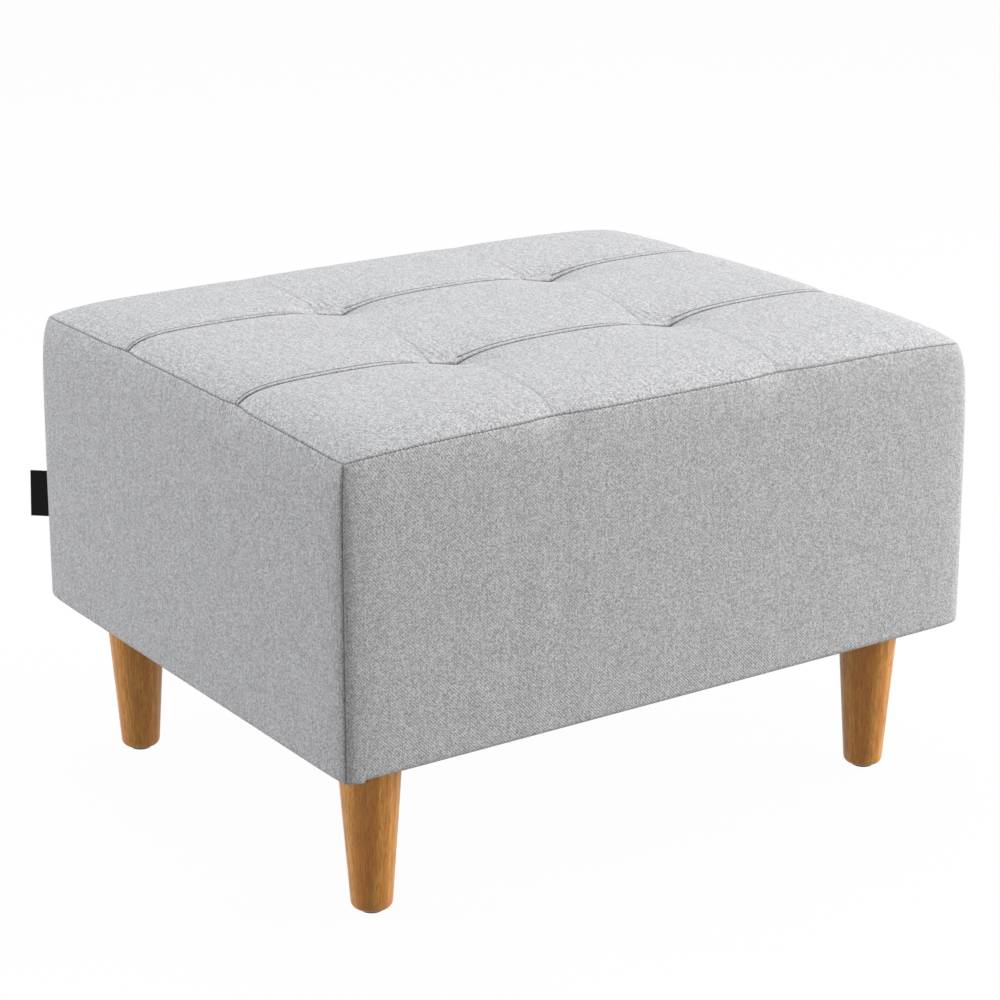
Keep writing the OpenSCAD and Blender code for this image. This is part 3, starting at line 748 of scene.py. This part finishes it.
# A crease is a sharp fold in a wide shallow hollow
crease_fold = 0.4 * mm
crease_fold_width = 1.5 * mm
crease_hollow = 0.35 * mm
crease_width = 14 * mm
# Behind each tie the cloth stands up in a lip, with fine wrinkles behind that
lip_rise = 1.2 * mm
lip_len = 7 * mm
lip_fall = 5 * mm
wrinkle_pitch = 7.5 * mm
wrinkle_height = 0.45 * mm
wrinkle_span = 17 * mm
wrinkle_back = 18 * mm
wrinkle_reach = 13 * mm
dot_depth = 1.0 * mm


def row_behind(seam, x):
    """Distance of the second row of stitches behind the joint, and whether it shows."""
    gap = lap * (1 - 0.28 * np.exp((-top_x - x) / (20 * mm)))
    shown = np.ones_like(x)
    for other, dot, notch in tufts:
        if other == seam:
            before = dot - lap_end - x
            gap = np.where(x < notch, gap * np.sqrt(np.clip(before / (26 * mm), 0, 1)), gap)
            shown = np.where((before < 0) & (x < notch + 5 * mm), 0.0, shown)
    return gap, shown


def crease_offset(x, v):
    """Distance from the nearer cross crease, and how sharp and how deep the crease is there."""
    strip = [v < front_seam, v < back_seam]
    ahead = np.select(strip, [-top_y, front_seam], back_seam)
    behind = np.select(strip, [front_seam, back_seam], top_y)
    share = (v - ahead) / (behind - ahead)
    offsets = []
    for at_edge, (_, front_dot, front_notch), (_, back_dot, back_notch) in zip(
            crease_ends, tufts[:2], tufts[2:]):
        start = np.select(strip, [at_edge, front_dot], back_dot)
        end = np.select(strip, [front_notch, back_notch], at_edge)
        offsets.append(x - start - (end - start) * share)
    nearer = np.where(np.abs(offsets[0]) < np.abs(offsets[1]), offsets[0], offsets[1])
    from_ends = np.minimum(v - ahead, behind - v)
    return nearer, eased(1.3 * (1 - share)), eased(from_ends / (5 * mm))


def round_the_ties(u, v):
    """What the ties do to the cover near them: the height added, and the painted shade at their dots, lips
    and wrinkles.
    """
    rise = np.zeros_like(u)
    painted_fold_shade = np.zeros_like(u)
    for seam, dot, notch in tufts:
        across = v - seam
        between = eased((u - dot + 4 * mm) / (8 * mm)) * eased((notch - u) / (4 * mm))
        lip = eased(across / (2 * mm)) * (1 - eased((across - lip_len) / lip_fall))
        rise = rise + lip_rise * between * lip
        # Painted shade at the foot of each lip
        lip_foot_painted_shade = bell(across - lip_len - lip_fall / 2, 1.5 * mm)
        painted_fold_shade = np.maximum(painted_fold_shade, 0.3 * between * lip_foot_painted_shade)
        from_tuft = u - (dot + notch) / 2
        wrinkle = np.sin(2 * math.pi * (from_tuft + 0.15 * across) / wrinkle_pitch)
        strength = bell(from_tuft + 2 * mm, wrinkle_span) * bell(across - wrinkle_back, wrinkle_reach)
        strength = strength * eased((across - 8 * mm) / (6 * mm))
        rise = rise + wrinkle_height * strength * wrinkle
        # Painted shade in the troughs of the wrinkles
        painted_fold_shade = np.maximum(painted_fold_shade, 0.35 * strength * np.clip(-wrinkle, 0, 1) ** 6)
        # Each tie's dot is a small dip, and its colour also gets painted shade
        dot_dip_and_shade = bell(u - dot, 1.5 * mm) * bell(across - mm, 2.2 * mm)
        rise = rise - dot_depth * dot_dip_and_shade
        painted_fold_shade = np.maximum(painted_fold_shade, 0.9 * dot_dip_and_shade)
    return rise, painted_fold_shade


def top_surface(u, v):
    """Outer face of the top cover at places on its flat map, and the painted shade at its seams, creases,
    ties and edges.
    """
    x, y = drawn_in(u, v)
    rise, painted_fold_shade = round_the_ties(u, v)
    z = top_form(u, v) + rise
    for seam in (front_seam, back_seam):
        across = v - seam
        gap, shown = row_behind(seam, u)
        z = z - joint_groove * bell(across, joint_width)
        z = z - row_groove * shown * bell(across - gap, row_width)
        z = z + lap_rise * eased(across / mm) * eased((gap + 1.5 * mm - across) / (1.5 * mm))
        # Painted shade along the joint and along the second row of stitches
        painted_fold_shade = np.maximum(painted_fold_shade, 0.95 * bell(across, 1.1 * mm))
        painted_fold_shade = np.maximum(painted_fold_shade, 0.9 * shown * bell(across - gap, row_width))
    offset, sharp, full = crease_offset(u, v)
    z = z - full * crease_hollow * bell(offset, crease_width)
    z = z - full * sharp * crease_fold * np.exp(-np.abs(offset) / crease_fold_width)
    # Painted shade along the sharp fold of each crease
    painted_fold_shade = np.maximum(painted_fold_shade, 0.42 * full * sharp * bell(offset, 0.7 * mm))
    at_x = bell(top_x - np.abs(u), edge_width)
    at_y = bell(top_y - np.abs(v), edge_width)
    x = x - np.sign(x) * edge_in * at_x
    y = y - np.sign(y) * edge_in * at_y
    z = z - edge_down * np.maximum(at_x, at_y)
    # Painted shade along the edge seam
    painted_fold_shade = np.maximum(painted_fold_shade, 0.6 * np.maximum(at_x, at_y) ** 3)
    return np.stack([x, y, z], axis=1) + settled_by(u, v), painted_fold_shade


def mark_painted_shade(piece, painted_fold_shade):
    """Keeps on the mesh the painted shade of each point, for folds and seams where less light reaches; the
    cloth's colour is darkened by it.
    """
    shade = piece.data.attributes.new("painted_fold_shade", "FLOAT", "POINT")
    shade.data.foreach_set("value", painted_fold_shade.astype(np.float32))


outer_lines = lines(-top_x, top_x, 2.6 * mm, [
    (-top_x, -top_x + 4 * mm, 0.5 * mm), (top_x - 4 * mm, top_x, 0.5 * mm),
    (-145 * mm, -105 * mm, 1.0 * mm), (88 * mm, 128 * mm, 1.0 * mm)])
strips = {
    "front": (-top_y, front_seam, [
        (-top_y, -top_y + 4 * mm, 0.5 * mm), (front_seam - 3 * mm, front_seam, 0.5 * mm)]),
    "middle": (front_seam, back_seam, [
        (front_seam, front_seam + 15 * mm, 0.5 * mm), (back_seam - 3 * mm, back_seam, 0.5 * mm)]),
    "back": (back_seam, top_y, [
        (back_seam, back_seam + 15 * mm, 0.5 * mm), (top_y - 4 * mm, top_y, 0.5 * mm)])}
for strip, (ahead, behind, fine) in strips.items():
    cover, u, v = cloth_grid(
        "cover_strip_" + strip, outer_lines, lines(ahead, behind, 2.6 * mm, fine))
    place, painted_fold_shade = top_surface(u, v)
    shape(cover, *place.T)
    mark_painted_shade(cover, painted_fold_shade)
    thickened(cover, cloth_t)
    cover.data.materials.append(cover_cloth)
    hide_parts("cover_top_" + strip)
    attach(cover, "root")


# Side covers: one panel of the same cloth on each side, sewn to the next at the corners and to
# the top along the edge. The hem is pulled under the frame and stapled, and droops at the corners.
# The cloth is pulled down by hand, which leaves it faintly uneven along its length
pull_height = 0.35 * mm
pull_draw = np.random.default_rng(7)
pulls = [(pull_draw.uniform(40, 160), pull_draw.uniform(0, 2 * math.pi)) for _ in range(9)]


def side_surface(side, s, v):
    """Outer face of a side cover, and the painted shade at its corner and edge seams."""
    x, y, z = side_form(side, s, v)
    half_cloth = side_half(side)[0]
    to_corner = half_cloth - np.abs(s)
    way_x, way_y = turned(side, 0.0, 1.0)
    along_x, along_y = turned(side, 1.0, 0.0)
    upright = eased((v - flat_len) / turn_len)
    pull = sum(np.sin(count * s + phase) for count, phase in pulls) / len(pulls)
    pull = pull * pull_height * upright * eased(to_corner / (20 * mm)) * eased((side_top - v) / (30 * mm))
    at_corner = bell(to_corner, edge_width) * upright
    at_edge = bell(side_top - v, edge_width)
    inward = pull - edge_in * np.maximum(at_corner, at_edge)
    sideways = -np.sign(s) * edge_in * at_corner
    x = x + way_x * inward + along_x * sideways
    y = y + way_y * inward + along_y * sideways
    z = z - edge_down * at_edge
    # Painted shade along the corner and edge seams
    painted_fold_shade = np.maximum(0.6 * at_corner ** 3, 0.6 * at_edge ** 3)
    return np.stack([x, y, z], axis=1), painted_fold_shade


for side in side_names:
    half_cloth = side_half(side)[0]
    cover, s, v = cloth_grid(
        "cover_side_" + side,
        lines(-half_cloth, half_cloth, 4 * mm, [
            (-half_cloth, -half_cloth + 4 * mm, 0.5 * mm),
            (-half_cloth + 4 * mm, -half_cloth + 24 * mm, 2 * mm),
            (half_cloth - 24 * mm, half_cloth - 4 * mm, 2 * mm),
            (half_cloth - 4 * mm, half_cloth, 0.5 * mm)]),
        lines(0.0, side_top, 4 * mm, [
            (flat_len - 2 * mm, flat_len + turn_len + 2 * mm, 1 * mm),
            (side_top - 4 * mm, side_top, 0.5 * mm)]))
    place, painted_fold_shade = side_surface(side, s, v)
    shape(cover, *place.T)
    mark_painted_shade(cover, painted_fold_shade)
    thickened(cover, cloth_t)
    cover.data.materials.append(cover_cloth)
    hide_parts("cover_" + side)
    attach(cover, "root")


# Sewing thread: grey polyester, seven stitches in 30 mm, in two rows along each strip seam
# and pulled down into the seams round the edge of the top.
stitch_pitch = 4.2 * mm
stitch_len = 3.0 * mm
thread_d = 0.7 * mm
# In an edge seam the cloth hides the ends of each stitch
edge_stitch_len = 0.85 * stitch_len


def sewing_thread():
    """Polyester sewing thread: a darker grey than the cloth, with a slight sheen."""
    material, tree, surface = new_material("grey_sewing_thread", Roughness=0.6, IOR=1.5)
    fibre = stretched_noise(tree, (2500.0, 2500.0, 2500.0))
    tree.links.new(mixed(tree, fibre, "#6b6b70", "#4d4d52"), surface.inputs["Base Color"])
    bumped(tree, surface, fibre, 0.05 * mm)
    return material


thread = sewing_thread()


def stitch_row(name, starts, ends):
    """A piece of stitches, each a short rounded length of thread between two points."""
    row = bmesh.new()
    for a, b in zip(starts, ends):
        way = b - a
        turn = Vector(way).to_track_quat("Z", "Y").to_matrix().to_4x4()
        size = Matrix.Diagonal((thread_d / 2, thread_d / 2, np.linalg.norm(way) / 2, 1.0))
        place = Matrix.Translation((a + b) / 2) @ turn @ size
        bmesh.ops.create_uvsphere(row, u_segments=6, v_segments=5, radius=1.0, matrix=place)
    piece = smooth_piece(name, row)
    piece.data.materials.append(thread)
    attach(piece, "root")


stitch_places = np.arange(-top_x + 4 * mm, top_x - 4 * mm - stitch_len, stitch_pitch)
for seam, seam_name in ((front_seam, "front"), (back_seam, "back")):
    for row_name in ("joint", "lap"):
        starts, ends = [], []
        for place, into in ((stitch_places, starts), (stitch_places + stitch_len, ends)):
            gap, shown = row_behind(seam, place)
            behind_joint = np.full_like(place, 0.3 * mm) if row_name == "joint" else gap
            row_place, _ = top_surface(place, seam + behind_joint)
            into.append(row_place + [0, 0, 0.1 * mm])
        keep = np.ones(len(stitch_places), bool) if row_name == "joint" else shown > 0.5
        stitch_row(f"stitches_{seam_name}_{row_name}", starts[0][keep], ends[0][keep])

for side in side_names:
    half_cloth = side_half(side)[0]
    place = np.arange(-half_cloth + 6 * mm, half_cloth - 6 * mm - stitch_len, stitch_pitch)
    level = np.full_like(place, side_top - 0.4 * mm)
    starts, _ = side_surface(side, place, level)
    ends, _ = side_surface(side, place + edge_stitch_len, level)
    stitch_row("stitches_edge_" + side, starts, ends)


# Side label: a strip of black satin-woven ribbon, folded and sewn into the back left corner seam.
# It is bare, with a slightly raised selvedge along its upper and lower edges.
label_low, label_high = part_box("side_label")
label_h = label_high.z - label_low.z
label_reach = 23 * mm
label_droop = 1.6 * mm
label_bow = 0.8 * mm
ribbon_t = 0.35 * mm
layer_half_gap = 0.32 * mm
selvedge_rise = 0.12 * mm
selvedge_width = 1.2 * mm


def satin_ribbon():
    """Black woven satin ribbon: fine weft ribs with a low gloss."""
    material, tree, surface = new_material(
        "black_satin_ribbon", Roughness=0.6, IOR=1.25, Sheen_Weight=0.0)
    flat = add_node(tree, "UVMap", uv_map="cloth").outputs[0]
    rib_pitch = 0.8 * mm
    mapped = add_node(tree, "Mapping", {"Vector": flat, "Scale": (2 / rib_pitch, 1 / rib_pitch, 1.0)})
    ribs = add_node(tree, "TexNoise", {
        "Vector": mapped.outputs["Vector"], "Scale": 1.0, "Detail": 2.0}).outputs["Fac"]
    tree.links.new(mixed(tree, ribs, "#08080a", "#17171a"), surface.inputs["Base Color"])
    bumped(tree, surface, ribs, 0.15 * mm)
    return material


label, u, v = cloth_grid(
    "folded_side_label",
    lines(0.0, 2 * label_reach, 2 * mm, [(label_reach - mm, label_reach + mm, 0.2 * mm)]),
    lines(0.0, label_h, 2 * mm, [(0.0, 2 * mm, 0.5 * mm), (label_h - 2 * mm, label_h, 0.5 * mm)]))
out = label_reach - np.abs(u - label_reach)
across = layer_half_gap * np.sin(np.clip((label_reach - u) / (0.5 * mm), -1, 1) * math.pi / 2)
at_selvedge = bell(v, selvedge_width) + bell(label_h - v, selvedge_width)
selvedge = selvedge_rise * at_selvedge * np.sign(label_reach - u)
bow = label_bow * (out / label_reach) ** 2
middle = (label_low + label_high) / 2
diagonal = math.sqrt(0.5)
reach = out - label_reach / 2 - label_droop * out / label_reach * v / label_h
side_step = across + selvedge + bow
shape(
    label,
    middle.x - diagonal * reach - diagonal * side_step,
    middle.y + diagonal * reach - diagonal * side_step,
    label_low.z + v)
thickened(label, ribbon_t)
label.data.materials.append(satin_ribbon())
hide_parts("side_label")
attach(label, "root")


# Underside cloth: thin black spunbond polypropylene that closes the frame and keeps dust out.
# It is stapled over the hems, cut out round the legs, and hangs a little between its staples.
dust_low, dust_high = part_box("dust_cover")
leg_low, leg_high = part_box("leg_front_right")
leg_x = (leg_low.x + leg_high.x) / 2
leg_y = (leg_low.y + leg_high.y) / 2
leg_top_r = (leg_high.x - leg_low.x) / 2
hole_r = leg_top_r + 1.5 * mm
dust_cell = 4 * mm
dust_sag = 3 * mm
dust_t = 0.5 * mm
dust_ripple = 0.4 * mm
taut_reach = 60 * mm


def spunbond_cloth():
    """Black spunbond: matt fibres bonded in small dots."""
    material, tree, surface = new_material("black_spunbond_cloth", Roughness=0.9, IOR=1.49)
    flat = add_node(tree, "UVMap", uv_map="cloth").outputs[0]
    dot_pitch = 2.0 * mm
    mapped = add_node(tree, "Mapping", {"Vector": flat, "Scale": (1 / dot_pitch, 1 / dot_pitch, 1.0)})
    dots = add_node(
        tree, "TexVoronoi", {"Vector": mapped.outputs["Vector"], "Scale": 1.0, "Randomness": 0.15})
    tree.links.new(
        mixed(tree, dots.outputs["Distance"], "#101012", "#2c2c2f"), surface.inputs["Base Color"])
    bumped(tree, surface, dots.outputs["Distance"], 0.2 * mm)
    return material


dust, u, v = cloth_grid(
    "underside_cloth",
    lines(dust_low.x, dust_high.x, dust_cell), lines(dust_low.y, dust_high.y, dust_cell))
to_leg_x, to_leg_y = np.abs(u) - leg_x, np.abs(v) - leg_y
from_leg = np.hypot(to_leg_x, to_leg_y)
snap = np.where((from_leg > hole_r - dust_cell * 0.5) & (from_leg < hole_r + dust_cell * 0.9),
                hole_r / np.maximum(from_leg, 1e-9), 1.0)
x = np.sign(u) * (leg_x + to_leg_x * snap)
y = np.sign(v) * (leg_y + to_leg_y * snap)
slack = (1 - (u / dust_high.x) ** 4) * (1 - (v / dust_high.y) ** 4)
slack = slack * eased((from_leg - hole_r) / taut_reach)
ripple = dust_ripple * np.sin(x * 70 + 2 * np.sin(y * 23)) * np.sin(y * 55)
z = dust_high.z - 0.05 * mm - slack * (dust_sag + ripple)
shape(dust, x, y, z)
cut = bmesh.new()
cut.from_mesh(dust.data)
in_hole = [p for p, d in zip(cut.verts, from_leg) if d <= hole_r - dust_cell * 0.5]
bmesh.ops.delete(cut, geom=in_hole, context="VERTS")
bmesh.ops.reverse_faces(cut, faces=cut.faces[:])
cut.to_mesh(dust.data)
cut.free()
thickened(dust, dust_t)
dust.modifiers["thickness"].offset = 1.0
dust.data.materials.append(spunbond_cloth())
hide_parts("dust_cover")
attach(dust, "root")


# Legs: solid oak, turned to a straight taper with a rounded foot, stained and lacquered satin.
# Each screws onto its hanger bolt, and stands on a moulded glide nailed into its end.
def satin_lacquered_oak():
    """Oak: upright growth rings cut by the taper, fine dark pores, under a satin lacquer."""
    material, tree, surface = new_material(
        "satin_lacquered_oak", IOR=1.5, Coat_Weight=0.15, Coat_Roughness=0.3)
    place = add_node(tree, "TexCoord").outputs["Object"]
    leaning = add_node(tree, "Mapping", {
        "Vector": place, "Rotation": (math.radians(2), math.radians(-3), 0.0),
        "Scale": (1.0, 1.0, 0.1)}).outputs["Vector"]
    ring_width = 5.5 * mm
    rings = add_node(tree, "TexWave", {
        "Vector": leaning, "Scale": wave_band / ring_width, "Distortion": 5.0, "Detail": 3.0,
        "Detail Scale": 1.2, "Detail Roughness": 0.6}, bands_direction="DIAGONAL").outputs["Fac"]
    streaks = stretched_noise(tree, (700.0, 700.0, 11.0), detail=4.0)
    pores = stretched_noise(tree, (1500.0, 1500.0, 110.0), detail=1.0)
    wood = mixed(tree, rings, "#dd8d30", "#f2ac4c")
    streaked = mixed(
        tree, add_node(tree, "MapRange", {0: streaks, 1: 0.38, 2: 0.66, 3: 0.0, 4: 0.7}).outputs[0],
        wood, "#ad6a26")
    pore = add_node(tree, "MapRange", {0: pores, 1: 0.58, 2: 0.68, 3: 0.0, 4: 0.6}).outputs[0]
    tree.links.new(mixed(tree, pore, streaked, "#83501c"), surface.inputs["Base Color"])
    rough = add_node(tree, "MapRange", {0: streaks, 3: 0.38, 4: 0.55})
    tree.links.new(rough.outputs[0], surface.inputs["Roughness"])
    bumped(tree, surface, pore, -0.08 * mm)
    return material


oak = satin_lacquered_oak()
foot_r = 18.25 * mm
foot_edge_r = 6 * mm
glide_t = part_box("glide_front_right")[1].z
bolt_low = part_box("hanger_bolts")[0].z
bolt_r = 4.05 * mm
nail_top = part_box("glide_nails")[1].z
nail_r = 1.05 * mm
top_edge_in = 0.4 * mm
bolt_point = 8 * mm
nail_point = 2 * mm


def leg_outline():
    """Half the leg's section, from the nail's hole round the outside to the bolt's hole."""
    taper = math.atan((leg_top_r - foot_r) / (leg_high.z - glide_t))
    turn = [-math.pi / 2 + (math.pi / 2 - taper) * k / 8 for k in range(9)]
    foot = [
        (foot_r - foot_edge_r + foot_edge_r * math.cos(a), glide_t + foot_edge_r * (1 + math.sin(a)))
        for a in turn]
    top_edge = [(leg_top_r - top_edge_in, leg_high.z), (bolt_r, leg_high.z)]
    low_r, low_z = foot[-1]
    cone_h = leg_high.z - top_edge_in - low_z
    cone = [(low_r + (leg_top_r - low_r) * k / 12, low_z + cone_h * k / 12) for k in range(1, 13)]
    nail_hole = [(0.0, nail_top), (nail_r, nail_top - nail_point), (nail_r, glide_t)]
    bolt_hole = [(bolt_r, bolt_low + bolt_point), (0.0, bolt_low)]
    return nail_hole + foot + cone + top_edge + bolt_hole


for corner in corner_names:
    way_x = 1 if "right" in corner else -1
    way_y = 1 if "back" in corner else -1
    turned_leg = bmesh.new()
    outline = [turned_leg.verts.new((r, 0.0, z)) for r, z in leg_outline()]
    for a, b in zip(outline, outline[1:]):
        turned_leg.edges.new((a, b))
    bmesh.ops.spin(
        turned_leg, geom=turned_leg.verts[:] + turned_leg.edges[:], cent=(0, 0, 0), axis=(0, 0, 1),
        angle=2 * math.pi, steps=64, use_merge=True)
    bmesh.ops.remove_doubles(turned_leg, verts=turned_leg.verts[:], dist=0.01 * mm)
    bmesh.ops.recalc_face_normals(turned_leg, faces=turned_leg.faces[:])
    bmesh.ops.translate(turned_leg, verts=turned_leg.verts[:], vec=(way_x * leg_x, way_y * leg_y, 0.0))
    leg = smooth_piece("turned_leg_" + corner, turned_leg)
    leg.data.materials.append(oak)
    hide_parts("leg_" + corner)
    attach(leg, "root")
dress(["glide_" + c for c in corner_names], black_plastic)


# Studio: a white floor that keeps the object's shadow, and an even white surround. Strong softboxes
# stand to the right and to the left behind, one hangs above, and a weak one stands in front.
sweep = bmesh.new()
bmesh.ops.create_grid(sweep, x_segments=1, y_segments=1, size=12.0)
floor = smooth_piece("studio_floor", sweep)
floor_material, tree, surface = new_material("white_studio_paint", Roughness=0.9, IOR=1.45)
surface.inputs["Base Color"].default_value = linear("#8c8c8c")
paths = add_node(tree, "LightPath")
seen = add_node(tree, "Math", {0: paths.outputs["Is Camera Ray"], 1: paths.outputs["Is Glossy Ray"]},
                operation="MAXIMUM")
seen = add_node(tree, "Math", {0: seen.outputs[0], 1: paths.outputs["Is Transmission Ray"]},
                operation="MAXIMUM")
share = add_node(tree, "Math", {0: seen.outputs[0], 1: 0.9}, operation="MULTIPLY")
glow = add_node(tree, "Emission", {"Color": linear("#ffffff"), "Strength": 1.08})
blend = add_node(tree, "MixShader", {0: share.outputs[0], 1: surface.outputs[0], 2: glow.outputs[0]})
tree.links.new(blend.outputs[0], tree.nodes["Material Output"].inputs["Surface"])
floor.data.materials.append(floor_material)

world = bpy.data.worlds.new("studio_surround")
bpy.context.scene.world = world
world.use_nodes = True
tree = world.node_tree
surround = tree.nodes["Background"]
surround.inputs["Color"].default_value = linear("#ffffff")
surround.inputs["Strength"].default_value = 0.24
bright = add_node(tree, "Background", {"Color": linear("#ffffff"), "Strength": 1.0})
paths = add_node(tree, "LightPath")
seen = add_node(tree, "Math", {0: paths.outputs["Is Camera Ray"], 1: paths.outputs["Is Transmission Ray"]},
                operation="MAXIMUM")
blend = add_node(tree, "MixShader", {0: seen.outputs[0], 1: surround.outputs[0], 2: bright.outputs[0]})
tree.links.new(blend.outputs[0], tree.nodes["World Output"].inputs["Surface"])


def softbox(name, place, target, width, colour, power):
    """A square softbox that faces a target."""
    lamp = bpy.data.lights.new(name, "AREA")
    lamp.shape = "SQUARE"
    lamp.size = width
    lamp.energy = power
    lamp.color = linear(colour)[:3]
    holder = bpy.data.objects.new(name, lamp)
    holder.location = place
    aim = Vector(target) - Vector(place)
    holder.rotation_euler = aim.to_track_quat("-Z", "Y").to_euler()
    bpy.context.scene.collection.objects.link(holder)


softbox("softbox_left", (-3.2, 2.6, 0.9), (0.0, 0.0, 0.3), 2.0, "#fafbff", 95.0)
softbox("softbox_right", (3.6, -1.75, 1.25), (0.0, 0.0, 0.3), 2.8, "#ffffff", 205.0)
softbox("softbox_front", (-2.2, -2.8, 1.2), (0.0, 0.0, 0.3), 2.0, "#ffffff", 10.0)
softbox("softbox_top", (0.2, 0.5, 3.0), (0.0, 0.0, 0.4), 2.0, "#f8f9ff", 51.0)

# The camera stands where the photograph's did, fitted to the outline and the feet
camera = bpy.data.cameras.new("camera")
camera.sensor_width = 36.0
camera.lens = 103.347
eye = bpy.data.objects.new("camera", camera)
eye.location = (-1.431882, -2.109543, 1.101694)
eye.rotation_euler = (math.radians(90 - 18.309), 0.0, math.radians(-34.188))
bpy.context.scene.collection.objects.link(eye)
bpy.context.scene.camera = eye
bpy.context.scene.view_settings.view_transform = "Standard"
